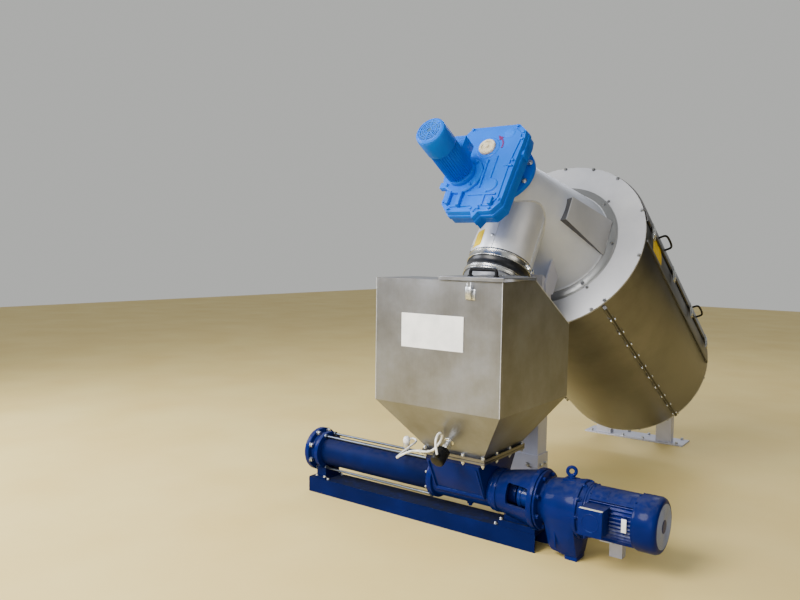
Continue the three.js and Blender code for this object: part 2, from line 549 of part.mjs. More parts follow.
add('pump_motor', roundX(PUMP_MOTOR_R, GEAR_END_X + GAP, PUMP_FAN_START_X - GAP, 0, PUMP_Z, 48), darkBlue);
const pumpFan = roundX(PUMP_FAN_R, PUMP_FAN_START_X, PUMP_FAN_END_X - 16, 0, PUMP_Z, 48)
  .add(coneX(PUMP_FAN_R, PUMP_FAN_END_X - 16.1, PUMP_FAN_R - 13, PUMP_FAN_END_X, PUMP_Z, 48));
add('pump_fan_cover', pumpFan, darkBlue);
const pumpBox = box(586, 684, -176, -60, PUMP_Z - 41, PUMP_Z + 66)
  .subtract(roundX(PUMP_MOTOR_R + 0.5, 500, 740, 0, PUMP_Z, 48));
add('pump_terminal_box', pumpBox, darkBlue);
const MOTOR_BOTTOM_Z = PUMP_Z - PUMP_MOTOR_R;
const motorPost = box(612, 668, 102, 144, 0, MOTOR_BOTTOM_Z - GAP)
  .add(box(612, 668, -10, 144, MOTOR_BOTTOM_Z - GAP - 8, MOTOR_BOTTOM_Z - GAP));
add('motor_support', motorPost, galvanised);
const EYE_X = 478;
const EYE_Z = 363;
const eyeRing = new THREE.TorusGeometry(19, 6, 10, 24);
eyeRing.rotateX(Math.PI / 2);
eyeRing.rotateZ(THREE.MathUtils.degToRad(20));
eyeRing.translate(EYE_X, 0, EYE_Z);
const eyeBolt = solid(eyeRing).add(roundZ(9, 332, EYE_Z - 14, EYE_X, 0, 16));
add('pump_lifting_eye', eyeBolt, darkBlue);

// Skid with the foot under the discharge end and the pedestal under the lantern.
const skid = box(SKID_X0, SKID_X1, -SKID_HALF_Y, SKID_HALF_Y, 0, SKID_H)
  .subtract(box(SKID_X0 - 5, SKID_X1 + 5, -SKID_HALF_Y + SKID_WALL, SKID_HALF_Y - SKID_WALL,
    -5, SKID_H - SKID_WALL));
add('pump_skid', skid, darkBlue);
const footPiece = box(-932, -862, -62, 62, SKID_H + GAP, SKID_H + 10)
  .add(box(-928, -868, -52, 52, SKID_H + 4, PUMP_Z))
  .subtract(roundX(96.6, -1000, -800, 0, PUMP_Z, 48));
add('stator_foot', footPiece, darkBlue);
const pedestal = box(171, SKID_X1 - 2, -64, 64, SKID_H + GAP, 106)
  .add(box(190, 325, -50, 50, 100, PUMP_Z))
  .subtract(coneX(LANTERN_R0 + 0.7, lanternX0, LANTERN_R1 + 0.7, LANTERN_END_X - 10, PUMP_Z, 48))
  .subtract(roundX(LANTERN_RING_R + GAP, LANTERN_END_X - 24 - GAP, LANTERN_END_X + 20, 0, PUMP_Z, 48));
add('lantern_pedestal', pedestal, darkBlue);

export default part;
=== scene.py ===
import math
from itertools import product
import bmesh
import bpy
from mathutils import Matrix, Vector


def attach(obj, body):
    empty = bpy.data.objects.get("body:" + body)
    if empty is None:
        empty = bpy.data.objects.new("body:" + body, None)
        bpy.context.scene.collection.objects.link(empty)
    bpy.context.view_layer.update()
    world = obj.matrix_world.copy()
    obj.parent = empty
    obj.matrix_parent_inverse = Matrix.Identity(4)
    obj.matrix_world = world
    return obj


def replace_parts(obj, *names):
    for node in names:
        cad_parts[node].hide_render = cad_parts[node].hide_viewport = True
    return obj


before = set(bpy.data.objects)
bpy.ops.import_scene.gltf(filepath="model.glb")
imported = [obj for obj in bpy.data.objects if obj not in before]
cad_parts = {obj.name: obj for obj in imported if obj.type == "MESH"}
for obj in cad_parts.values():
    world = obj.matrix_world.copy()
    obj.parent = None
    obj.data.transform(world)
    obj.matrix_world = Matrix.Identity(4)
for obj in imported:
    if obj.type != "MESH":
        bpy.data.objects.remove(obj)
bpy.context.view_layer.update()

# Camera. It stands in front of the pump's motor end and looks along the thickener, a little
# downwards, with a wide lens. Lengths are in millimetres, those of floor and lights in metres.
CAMERA_AT = (1686.4, -3168.4, 1257.1)
CAMERA_TURN = 0.60772
CAMERA_DIP = 0.07867
CAMERA_ROLL = 0.01743
QUARTER = math.radians(90)


def linked(name, data):
    made = bpy.data.objects.new(name, data)
    bpy.context.scene.collection.objects.link(made)
    return made


lens = bpy.data.cameras.new("camera")
lens.lens = 32.526
lens.sensor_width = 36
lens.shift_x, lens.shift_y = -0.045875, 0.01225
lens.clip_end = 60
camera = linked("camera", lens)
camera.matrix_world = (
    Matrix.Translation(Vector(CAMERA_AT) / 1000) @ Matrix.Rotation(CAMERA_TURN, 4, "Z")
    @ Matrix.Rotation(QUARTER - CAMERA_DIP, 4, "X") @ Matrix.Rotation(CAMERA_ROLL, 4, "Z"))
bpy.context.scene.camera = camera


# Sensor lead. A white PVC-sheathed cable joins the dry-running sensor on the pump's stator to
# the level sensor on the hopper; it hangs free between the two and is pushed into both glands.

# A link starts at a socket, or at the first output of a node.
def node(tree, kind, settings={}, links={}):
    made = tree.nodes.new("ShaderNode" + kind)
    for name, value in settings.items():
        if isinstance(name, int) or name in made.inputs:
            made.inputs[name].default_value = value
        else:
            setattr(made, name, value)
    for name, source in links.items():
        tree.links.new(getattr(source, "outputs", [source])[0], made.inputs[name])
    return made


def srgb(code):
    parts = [int(code[i:i + 2], 16) / 255 for i in (1, 3, 5)]
    return (*(c / 12.92 if c < 0.04045 else ((c + 0.055) / 1.055) ** 2.4 for c in parts), 1)


def blank(name):
    made = bpy.data.materials.new(name)
    made.use_nodes = True
    tree = made.node_tree
    tree.nodes.clear()
    return made, tree, node(tree, "TexCoord").outputs["Object"]


def finished(tree, settings, links):
    node(tree, "OutputMaterial", {}, {"Surface": node(tree, "BsdfPrincipled", settings, links)})


def ramp(tree, source, stops):
    made = node(tree, "ValToRGB", {}, {"Fac": source})
    band = made.color_ramp
    while len(band.elements) < len(stops):
        band.elements.new(0.5)
    for element, (place, colour) in zip(band.elements, stops.items()):
        element.position = place
        element.color = srgb(colour)
    return made


def smooth_line(points, steps):
    ends = [points[0] * 2 - points[1]] + points + [points[-1] * 2 - points[-2]]
    line = []
    for a, b, c, d in zip(ends, ends[1:], ends[2:], ends[3:]):
        for i in range(steps):
            t = i / steps
            line.append(0.5 * (2 * b + (c - a) * t + (2 * a - 5 * b + 4 * c - d) * t ** 2
                               + (3 * b - a - 3 * c + d) * t ** 3))
    return line + [points[-1]]


def circle(count, radius=1, turn=0.0):
    angles = [math.tau * (k + turn) / count for k in range(count)]
    return [(radius * math.cos(a), radius * math.sin(a)) for a in angles]


def loft(rings, closed=False):
    for one, two in zip(rings, rings[1:] + (rings[:1] if closed else [])):
        for k in range(len(one)):
            j = (k + 1) % len(one)
            bm.faces.new((one[k], one[j], two[j], two[k]))
    if not closed:
        bm.faces.new(rings[0][::-1])
        bm.faces.new(rings[-1])


def tube(line, radius, sides, closed=False):
    side = (line[1] - line[0]).orthogonal().normalized()
    rings = []
    around = [line[-1]] + line + [line[0]] if closed else [line[0]] + line + [line[-1]]
    for i, (before, point, after) in enumerate(zip(around, line, around[2:])):
        along = (after - before).normalized()
        side = (side - along * side.dot(along)).normalized()
        other = along.cross(side)
        size = radius(i) if callable(radius) else radius
        rings.append([bm.verts.new(point + (side * u + other * v) * size) for u, v in circle(sides)])
    loft(rings, closed)


MM = Matrix.Scale(0.001, 4)
CREASE = 32
# Every shape is drawn into one open mesh; the piece that takes it leaves an empty one behind.
bm = bmesh.new()


def mesh_of(name):
    global bm
    made = bpy.data.meshes.new(name)
    bm.to_mesh(made)
    bm.free()
    bm = bmesh.new()
    return made


def piece(name, material, body="machine", at=None, edge=0.0, sharp=CREASE):
    bmesh.ops.remove_doubles(bm, verts=bm.verts, dist=0.005)
    bmesh.ops.recalc_face_normals(bm, faces=bm.faces)
    if edge:
        corners = [e for e in bm.edges if e.is_manifold and e.calc_face_angle() > math.radians(sharp)]
        bmesh.ops.bevel(bm, geom=corners, offset=edge, segments=2, profile=0.5, affect="EDGES",
                        clamp_overlap=True)
    bm.transform(MM @ (at or Matrix()))
    made = linked(name, mesh_of(name))
    made.data.shade_smooth()
    made.data.set_sharp_from_angle(angle=math.radians(sharp))
    made.data.materials.append(material)
    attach(made, body)
    return made


# White PVC is soft and slightly glossy, with grey dirt in patches; a cable sheath's faint
# extrusion lines are 0.4 mm apart, drawn at 3 mm so that they show.
cable_pvc, tree, place = blank("extruded_white_pvc")
dirt = node(tree, "TexNoise", {"Scale": 1000 / 25, "Detail": 4}, {"Vector": place})
lines = node(tree, "TexNoise", {"Scale": 1000 / 3, "Detail": 1}, {"Vector": place})
raised = node(tree, "Bump", {"Strength": 0.15, "Distance": 0.0004}, {"Height": lines})
finished(tree, {"Roughness": 0.42, "IOR": 1.53}, {
    "Base Color": ramp(tree, dirt, {0.35: "#c4c4bf", 0.6: "#f0f1f0"}), "Normal": raised})

LEAD_D = 10
lead_route = [Vector(p) for p in (
    (15, -744, 423), (12, -745, 441), (4, -740, 460), (2, -735, 481), (1, -722, 498), (-1, -701, 502),
    (-5, -682, 491), (-12, -671, 474), (-23, -667, 455), (-36, -663, 438), (-51, -658, 423),
    (-68, -652, 409), (-86, -645, 399), (-105, -638, 391), (-125, -631, 385), (-145, -623, 381),
    (-165, -615, 377), (-185, -607, 373), (-205, -598, 368), (-224, -590, 363), (-244, -583, 356),
    (-264, -578, 347), (-283, -574, 337), (-302, -571, 326), (-320, -568, 315), (-338, -559, 305),
    (-349, -541, 304), (-350, -520, 310), (-348, -500, 318), (-344, -480, 326), (-341, -460, 334),
    (-339, -439, 341), (-341, -417, 345), (-348, -397, 347), (-364, -381, 349), (-382, -379, 351),
    (-396, -388, 347), (-402, -400, 334), (-400, -409, 317), (-396, -412, 298))]
tube(smooth_line(lead_route, 4), LEAD_D / 2, 14)
lead = piece("sensor_lead", cable_pvc)


# Floor and light. A plain pale resin floor, a big soft light above the front, weaker ones low
# in front, at each side and behind, and an even grey surround for the steel to reflect.
def mottled(name, size, detail, tones, settings, bump=None, gloss=None):
    made, tree, place = blank(name)
    patch = node(tree, "TexNoise", {"Scale": 1000 / size, "Detail": detail}, {"Vector": place})
    links = {"Base Color": ramp(tree, patch, tones)}
    if bump:
        strength, depth = bump
        links["Normal"] = node(tree, "Bump", {"Strength": strength, "Distance": depth}, {"Height": patch})
    if gloss:
        low, high = gloss
        links["Roughness"] = node(tree, "MapRange", {"To Min": low, "To Max": high}, {"Value": patch})
    finished(tree, settings, links)
    return made


# Cast resin is matt and only faintly cloudy, with 1.4 patches to the metre.
floor_resin = mottled(
    "pale_cast_resin_floor", 1000 / 1.4, 5, {0.3: "#dbc176", 0.7: "#e3cd86"}, {"Roughness": 0.62})
bmesh.ops.create_grid(bm, x_segments=8, y_segments=8, size=14)
floor = linked("floor", mesh_of("floor"))
floor.data.materials.append(floor_resin)
floor.location = (0, 2, -0.0005)

surround = bpy.data.worlds.new("surround")
surround.use_nodes = True
tree = surround.node_tree
toward = node(tree, "VectorMath", {"operation": "DOT_PRODUCT", 1: (0.9, 0.43, 0)},
              {0: node(tree, "TexCoord").outputs["Generated"]})
far_side = node(tree, "MapRange", {"interpolation_type": "SMOOTHSTEP", "From Min": 0.35, "From Max": 0.9},
                {"Value": toward.outputs["Value"]})
backdrop = tree.nodes["Background"]
tree.links.new(ramp(tree, far_side, {0: "#d3d4d1", 1: "#45443f"}).outputs[0], backdrop.inputs["Color"])
backdrop.inputs["Strength"].default_value = 0.8
bpy.context.scene.world = surround
for name, where, aim, size, power, tint in [
        ("key_light", (-0.9, -4.8, 3.9), (0, -0.2, 0.8), 2.8, 480, "#fffbf5"),
        ("low_light", (2.0, -5.2, 1.5), (0, -0.2, 0.9), 2.6, 70, "#e9eeff"),
        ("left_light", (-4.2, -2.4, 2.6), (0, 0, 1.0), 2.4, 230, "#f4f7ff"),
        ("right_light", (4.4, -0.5, 4.0), (0, 0.6, 0.8), 2.4, 25, "#fff6e8"),
        ("rear_light", (-0.8, 4.8, 4.8), (0, 0.6, 0.9), 2.6, 90, "#f6f8ff")]:
    light = bpy.data.lights.new(name, "AREA")
    light.shape = "DISK"
    light.size = size
    light.energy = power
    light.color = srgb(tint)[:3]
    lamp = linked(name, light)
    lamp.location = where
    lamp.rotation_euler = (Vector(aim) - Vector(where)).to_track_quat("-Z", "Y").to_euler()


# Supports. A folded stainless column with a shoe and side brackets carries the upper end, two
# legs on a floor plate the lower end; sheets are pickled after welding and bolted to the floor.

# Lines from brushing, rolling or blasting are about 0.1 mm apart, drawn 3 to 8 mm wide so that
# they show. Their size is along on the grain axis, and across on the other two.
def steel_sheet(name, tones, roughness, grain, across, along, tilt=0.0, streak=0.16, metallic=1.0):
    made, tree, place = blank(name)
    turned_to = node(tree, "Mapping", {"Rotation": (tilt, 0, 0)}, {"Vector": place})
    lay = [1000 / across] * 3
    lay[grain] = 1000 / along
    stretched = node(tree, "Mapping", {"Scale": lay}, {"Vector": turned_to})
    scratch = node(tree, "TexNoise", {"Scale": 1.0, "Detail": 3, "Roughness": 0.65}, {"Vector": stretched})
    cloud = node(tree, "TexNoise", {"Scale": 1000 / 240, "Detail": 7, "Roughness": 0.62}, {"Vector": place})
    mixed = node(tree, "Math", {"operation": "MULTIPLY_ADD", 1: streak}, {0: scratch, 2: cloud})
    spread = node(tree, "Math", {"operation": "SUBTRACT", 1: streak / 2}, {0: mixed})
    gloss = node(tree, "MapRange", {"From Min": 0.3, "From Max": 0.7, "To Min": roughness - 0.05,
                                    "To Max": roughness + 0.06}, {"Value": spread})
    raised = node(tree, "Bump", {"Strength": 0.08, "Distance": 0.0004}, {"Height": scratch})
    finished(tree, {"Metallic": metallic}, {
        "Base Color": ramp(tree, spread, tones), "Roughness": gloss, "Normal": raised})
    return made


def clad(names, material):
    for name in names:
        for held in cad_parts[name].material_slots:
            held.material = material


# Pickled stainless steel is an even, pale violet grey with hardly any shine; its etched skin
# scatters much of the light, so it is drawn as a third metal.
pickled_steel = steel_sheet(
    "pickled_stainless_steel", {0.3: "#b4b6c6", 0.55: "#c1c3d2", 0.75: "#cbcdda"},
    0.52, 2, 6, 90, metallic=0.35)
clad(["support_column", "column_foot", "column_head_plate", "column_bracket_right", "column_bracket_left",
      "lower_leg_right", "lower_leg_left", "column_base_plate", "lower_base_plate"], pickled_steel)

UP, DOWN = (0, 0, 1), (0, 0, -1)
TO_FRONT, TO_BACK = (0, -1, 0), (0, 1, 0)
TO_RIGHT, TO_LEFT = (1, 0, 0), (-1, 0, 0)


# A profile of (place along the axis, radius) makes a solid that runs in to the axis at both
# ends, a ring whose last point joins its first, or a shell that is left open.
def turned(profile, origin=(0, 0, 0), axis=TO_BACK, sides=96, form="solid"):
    axis = Vector(axis).normalized()
    side = axis.orthogonal().normalized()
    other = axis.cross(side)
    if form == "solid":
        profile = [(profile[0][0], 0)] + profile + [(t, 0) for t, r in profile[-1:] if r]
    rings = []
    for t, r in profile:
        middle = Vector(origin) + axis * t
        rings.append([bm.verts.new(middle + (side * u + other * v) * r)
                      for u, v in (circle(sides) if r else [(1, 0)])])
    for one, two in zip(rings, rings[1:] + (rings[:1] if form == "ring" else [])):
        for k in range(sides):
            j = (k + 1) % sides
            corners = dict.fromkeys([one[k % len(one)], one[j % len(one)],
                                     two[j % len(two)], two[k % len(two)]])
            if len(corners) > 2:
                bm.faces.new(list(corners))


def hex_bolt(point, direction, across, height, washer=1.6):
    radius = across / math.sqrt(3)
    turned([(0, across * 0.78), (washer, across * 0.78)], point, direction, 18)
    turned([(washer, radius), (washer + height * 0.82, radius), (washer + height, radius * 0.84)],
           point, direction, 6)


# Zinc plating is a cool, bright grey that dulls in patches.
zinc = mottled("zinc_plated_steel", 9, 3, {0.3: "#a9adb2", 0.65: "#d6d9dc"}, {"Metallic": 1.0},
               gloss=(0.2, 0.5))
FLOOR_PLATE_TOP = 10
for x, y in [*product((-158, 158), (-76, 76)), *product((-300, -70, 70, 300), (1664, 1793))]:
    hex_bolt((x, y, FLOOR_PLATE_TOP), UP, 19, 12)
for side, z, y in product((-1, 1), (232, 70), (-25, 25)):
    hex_bolt((side * 134.6, y, z), (side, 0, 0), 16, 8)
for x in (-80, 80):
    hex_bolt((x, -54.9, 232), TO_FRONT, 16, 8)
piece("floor_bolts", zinc)

# Drum. A rolled and welded stainless housing with bolted flange seams along both sides; its
# sheet keeps the mill's fine grain round the drum and a warm, dull shine.
TILT = math.radians(30.96)
THICKENER = Matrix.Translation((0, 308, 1315)) @ Matrix.Rotation(-TILT, 4, "X")
DRUM_R = 491.5
DRUM_END = 1484
# Mill-finish sheet is darker than a brushed one, with an olive cast and soft clouds; its tone is
# drawn darker still as painted shade, for the dark hall the drum reflects.
mill_sheet = steel_sheet(
    "rolled_mill_finish_stainless_and_shade", {0.3: "#6a6a6d", 0.5: "#747476", 0.7: "#7e7d7e"},
    0.38, 1, 220, 5, tilt=TILT, streak=0.1)


def on_drum(name, material, edge=0.0):
    return piece(name, material, at=THICKENER, edge=edge)


turned([(12.3, DRUM_R), (DRUM_END, DRUM_R)], sides=192)
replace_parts(on_drum("drum_shell", mill_sheet, edge=1.2), "drum_housing")


def round_the_drum(radius, degrees, s):
    angle = math.radians(degrees)
    return Vector((radius * math.cos(angle), s, radius * math.sin(angle)))


clad(["cover_rail_right", "cover_rail_left", "seam_flange_right", "seam_flange_left"], mill_sheet)
SEAM_R = 504
SEAM_PITCH = 142
for k, mirror in product(range(1, 11), (1, -1)):
    for degrees, way in ((-42.35, 1), (-44.25, -1)):
        spot = round_the_drum(SEAM_R, degrees, 10 + SEAM_PITCH * k + 3 * way)
        along = round_the_drum(1, degrees + 90, 0) * way
        spot.x *= mirror
        along.x *= mirror
        hex_bolt(spot, along, 13, 5, 1)
on_drum("seam_bolts", zinc)

# EPDM rubber is a deep, matt grey-black with a little bloom; it seals the seams and the cover.
epdm = mottled("moulded_epdm_rubber", 30, 4, {0.35: "#0e0f12", 0.7: "#202227"},
               {"Roughness": 0.34, "IOR": 1.52, "Specular IOR Level": 0.3})


def strips(outline, s0, s1):
    corners = [[round_the_drum(r, degrees, s) for r, degrees in outline] for s in (s0, s1)]
    for mirror in (1, -1):
        loft([[bm.verts.new((mirror * p.x, p.y, p.z)) for p in loop] for loop in corners])


strips([(512, -43.85), (514.6, -43.8), (514.6, -42.8), (512, -42.75)], 22.5, 1461.5)
on_drum("seam_gaskets", epdm)


# Top cover. A hinged stainless sheet over the drum on a black rubber seal, with two black
# handles and toggle latches that hook under the rail along each side.
def closed_sheet(rows):
    for one, two in zip(rows, rows[1:] + rows[:1]):
        for k in range(len(one) - 1):
            bm.faces.new((one[k], one[k + 1], two[k + 1], two[k]))
    for k in (0, -1):
        bm.faces.new([row[k] for row in rows])


strips([(500.5, 19.5), (502.2, 17.6), (496, 16.9), (493.2, 18.4)], 24, 1460)
on_drum("cover_seal", epdm)

COVER_STEPS = 96
COVER_START, COVER_SWEEP = 18, 144
COVER_IN, COVER_EDGE, COVER_OUT = 493, 496.5, 501.5
closed_sheet([[bm.verts.new(round_the_drum(radius, COVER_START + COVER_SWEEP * k / COVER_STEPS, s))
               for k in range(COVER_STEPS + 1)]
              for radius, s in ((COVER_EDGE, 22), (COVER_OUT, 23), (COVER_OUT, 1461), (COVER_EDGE, 1462),
                                (COVER_IN, 1462), (COVER_IN, 22))])
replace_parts(on_drum("drum_top_cover", mill_sheet, edge=0.8), "top_cover")

# Black polyamide handles are satin, with worn, greyer crowns.
polyamide = mottled(
    "moulded_black_polyamide", 12, 4, {0.4: "#0a0b0d", 0.75: "#191a1d"},
    {"Roughness": 0.36, "IOR": 1.53, "Specular IOR Level": 0.15}, bump=(0.2, 0.0003))
clad(["cover_handle_1", "cover_handle_2"], polyamide)


def block(low, high):
    made = bmesh.ops.create_cube(bm, size=1)["verts"]
    for v in made:
        v.co = Vector([(a + b) / 2 + (b - a) * c for a, b, c in zip(low, high, v.co)])
    return made


# Bright rolled stainless bands and latches mirror their surroundings in long soft streaks.
bright_band = steel_sheet(
    "bright_rolled_stainless", {0.35: "#c0c1c0", 0.6: "#d2d3d2", 0.75: "#dededf"}, 0.25, 0, 5, 90)
for s, mirror in product((96, 520, 944, 1368), (1, -1)):
    for low, high in (((0, -16, 0), (4, 16, 62)), ((4, -9, 20), (12, 9, 74)), ((4, -6, 66), (9, 6, 96)),
                      ((4, -13, 6), (8, 13, 20))):
        for v in block(low, high):
            x, y, z = v.co
            at = round_the_drum(503.2 + x, 10 + z / 8.7, s + y)
            v.co = Vector((at.x * mirror, at.y, at.z))
on_drum("cover_latches", bright_band, edge=1.0)

# Front plate. Laser-cut stainless disc bolted to the drum's flange all round its rim; glass
# blasted, so it is an even violet grey.
blasted = steel_sheet(
    "glass_blasted_stainless", {0.3: "#a3a6ad", 0.55: "#afb1b7", 0.75: "#b9bbbf"},
    0.46, 0, 7, 40, tilt=TILT, streak=0.1, metallic=0.35)
PLATE = 12
turned([(0, DRUM_R), (PLATE, DRUM_R)], sides=192)
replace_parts(on_drum("drum_front_plate", blasted, edge=1.5), "front_plate")
turned([(DRUM_END + 0.3, DRUM_R), (DRUM_END + PLATE, DRUM_R)], sides=192)
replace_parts(on_drum("drum_lower_plate", blasted, edge=1.5), "lower_end_plate")
# Plain stainless bolts mirror their surroundings, and their tone is drawn dark as painted shade,
# so they stand out dark on the plate.
dark_bolt = steel_sheet(
    "cold_headed_stainless_bolt_in_painted_shade", {0.3: "#6e7074", 0.55: "#8f9195", 0.75: "#babcc0"}, 0.3, 0, 3, 3)
RIM_R = 484
for degrees in (96, 76, 56.5, 24.5, -7.3, -41, -50, -72, -108, -130, -139, 187.3, 155.5, 123.5):
    hex_bolt(round_the_drum(RIM_R, degrees, 0), TO_FRONT, 13, 7)
    hex_bolt(round_the_drum(RIM_R, degrees, DRUM_END + PLATE), TO_BACK, 13, 7)
on_drum("rim_bolts", dark_bolt)

# Transition. A chamfered ring bolted to the front plate and a cone rolled from sheet that
# leads up to the drive, welded together and blasted; the hatch is a folded box on its side.
RING_R = 348
CONE_TOP_S = -590
CONE_TOP_R = 108
CONE_MOUTH_S = -15.3
CONE_MOUTH_R = 306
# The ring was turned, so it is darker than blasted sheet and shades softly round its chamfer.
turned_stainless = steel_sheet(
    "turned_stainless_ring", {0.3: "#75777a", 0.55: "#818385", 0.75: "#8c8e8f"},
    0.32, 0, 8, 60, tilt=TILT, streak=0.1, metallic=0.65)
turned([(-0.3, RING_R + 4), (-3, RING_R + 4), (-3, RING_R - 2), (-6, RING_R - 4), (-15, 318)], sides=144)
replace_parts(on_drum("drum_transition_ring", turned_stainless, edge=0.8), "transition_ring")
# The cone was blasted after welding; its grey is drawn the palest and coolest of all the steel as
# painted cool light, against the warm light the floor throws on it.
blasted_cone = steel_sheet(
    "blasted_stainless_with_painted_cool_light", {0.3: "#b9c0d0", 0.55: "#c5cbd9", 0.75: "#cfd4e0"},
    0.5, 0, 7, 40, tilt=TILT, streak=0.1, metallic=0.2)
turned([(CONE_MOUTH_S, CONE_MOUTH_R), (CONE_TOP_S, CONE_TOP_R)], sides=144)
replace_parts(on_drum("drum_transition_cone", blasted_cone, edge=0.8), "transition_cone")
for k in range(8):
    hex_bolt(round_the_drum(330, 45 * k, -9.5), TO_FRONT, 14, 8)
    if k % 2:
        hex_bolt(round_the_drum(361, 45 * k + 1, 0), TO_FRONT, 11, 6)
on_drum("ring_bolts", dark_bolt)
clad(["inlet_stub"], blasted_cone)


def hull(points):
    made = [bm.verts.new(p) for p in points]
    found = bmesh.ops.convex_hull(bm, input=made, use_existing_faces=False)
    spare = {v for v in found["geom_interior"] + found["geom_unused"] if isinstance(v, bmesh.types.BMVert)}
    bmesh.ops.delete(bm, geom=list(spare), context="VERTS")


def hatch_x(s):
    return 228 + (s + 335) * 0.254


# The hatch's frame stands square on the cone, and a flat sheet covers it up to the ring; the
# frame's walls are drawn in the darker mill-finish sheet as painted shade.
HATCH = [(-335, -73), (-335, 55), (-17, 125), (-17, -74)]
hull([(hatch_x(s) + d, s, n) for s, n in HATCH for d in (-3, 0)])
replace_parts(on_drum("inspection_sheet", blasted, edge=1.0), "inspection_cover")
hull([(hatch_x(s) - 3.1, s + 1.5, n * 0.98) for s, n in HATCH]
     + [(hatch_x(s) - 78, s + (28 if s < -100 else 0), n * 0.9) for s, n in HATCH])
on_drum("inspection_frame", mill_sheet, edge=0.6)


def cone_radius(s):
    return CONE_TOP_R + (s - CONE_TOP_S) * (CONE_MOUTH_R - CONE_TOP_R) / (CONE_MOUTH_S - CONE_TOP_S)


def bead(line, radius, closed=False):
    tube(line, lambda i: radius * (1 + 0.18 * math.sin(i * 1.9)), 8, closed)


# A weld bead left as laid is brighter than the sheet and rippled across.
weld_metal = steel_sheet(
    "pickled_weld_bead", {0.3: "#aeb1b7", 0.6: "#c6c9cf", 0.8: "#d8dbe0"}, 0.4, 0, 4, 4, metallic=0.4)
bead([round_the_drum(CONE_MOUTH_R + 1, 360 * k / 240, -16.5) for k in range(240)], 2.6, True)
on_drum("cone_weld", weld_metal)

# Chute. A rolled tube from the cone down to the hopper, with a fillet weld where it enters the
# cone, two longitudinal seams, and the hose that joins it to the hopper's spigot.
CHUTE_S = -405
CHUTE_R = 147
CHUTE_AXIS = (0, CHUTE_S, 0), UP
# Brushed along its length after rolling, the tube is pale and shines in long soft streaks.
brushed_tube = steel_sheet(
    "brushed_stainless_tube", {0.3: "#c9ccd2", 0.55: "#d5d7dc", 0.75: "#dddfe3"},
    0.38, 2, 4, 240, tilt=TILT, streak=0.12, metallic=0.5)
turned([(-377.7, CHUTE_R), (-60, CHUTE_R)], *CHUTE_AXIS, 128)
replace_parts(on_drum("chute_tube", brushed_tube, edge=1.0), "discharge_chute")
bead([Vector((x, CHUTE_S + y, -math.sqrt(cone_radius(CHUTE_S + y) ** 2 - x * x)))
      for x, y in circle(160, CHUTE_R + 1)], 3.2, True)
for degrees, width in ((5, 2.2), (-82, 1.0)):
    a = math.radians(degrees)
    bead([Vector(((CHUTE_R + 0.4) * math.cos(a), CHUTE_S + (CHUTE_R + 0.4) * math.sin(a), n))
          for n in range(-374, -76, 4)], width)
on_drum("chute_welds", weld_metal)

CLAMP_R = 154
for top, low in ((-368, -403), (-445.6, -470.6)):
    turned([(top, CLAMP_R - 3), (top - 2, CLAMP_R), (top - 5, CLAMP_R), (top - 7, CLAMP_R - 2.5),
            (low + 7, CLAMP_R - 2.5), (low + 5, CLAMP_R), (low + 2, CLAMP_R), (low, CLAMP_R - 3)],
           *CHUTE_AXIS, 128)
    for s in (CHUTE_S - 17, CHUTE_S + 17):
        block((CLAMP_R - 4, s - 5, low + 2), (CLAMP_R + 14, s + 5, low + 23))
    turned([(-40, 3.5), (36, 3.5)], (CLAMP_R + 7, CHUTE_S, low + 12.5), TO_BACK, 16)
    hex_bolt((CLAMP_R + 7, CHUTE_S - 22, low + 12.5), TO_FRONT, 13, 8)
    hex_bolt((CLAMP_R + 7, CHUTE_S + 22, low + 12.5), TO_BACK, 13, 8)
clamps = on_drum("sleeve_clamps", bright_band, edge=0.6)
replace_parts(clamps, "upper_sleeve_clamp", "lower_sleeve_clamp")
turned([(-403.3, 149), (-408, 151.5), (-416, 148.5), (-424, 147.2), (-432, 148.5), (-440, 151.5),
        (-445.3, 149)], *CHUTE_AXIS, 128)
turned([(-363.5, 147.3), (-363.5, 150), (-367.7, 151.5), (-367.7, 147.3)], *CHUTE_AXIS, 128, "ring")
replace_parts(on_drum("chute_sleeve", epdm), "rubber_sleeve")

# Drive. A flanged parallel-shaft gearmotor in grey cast iron, sand cast with ribs and machined
# only at its joints, sprayed light blue all over and bolted to the top of the cone.
CASE_BACK_S = -690
CASE_FRONT_S = -780
MOTOR_X = -75
MOTOR_N = -143
MOTOR_AT = (MOTOR_X, 0, MOTOR_N)
CASE_OUTLINE = [
    (-158, 92), (-126, 136), (118, 136), (160, 98), (165, 60), (158, -60), (150, -282), (112, -326),
    (52, -326), (33, -360), (14, -326), (-112, -326), (-150, -284), (-160, -60)]


def prism(outline, low, high, to):
    loft([[bm.verts.new(to(u, v, d)) for u, v in outline] for d in (low, high)])


def along_s(x, n, s):
    return Vector((x, s, n))


def resized(outline, by):
    cu = sum(u for u, v in outline) / len(outline)
    cv = sum(v for u, v in outline) / len(outline)
    made = []
    for u, v in outline:
        far = math.hypot(u - cu, v - cv)
        made.append((u + (u - cu) / far * by, v + (v - cv) / far * by))
    return made
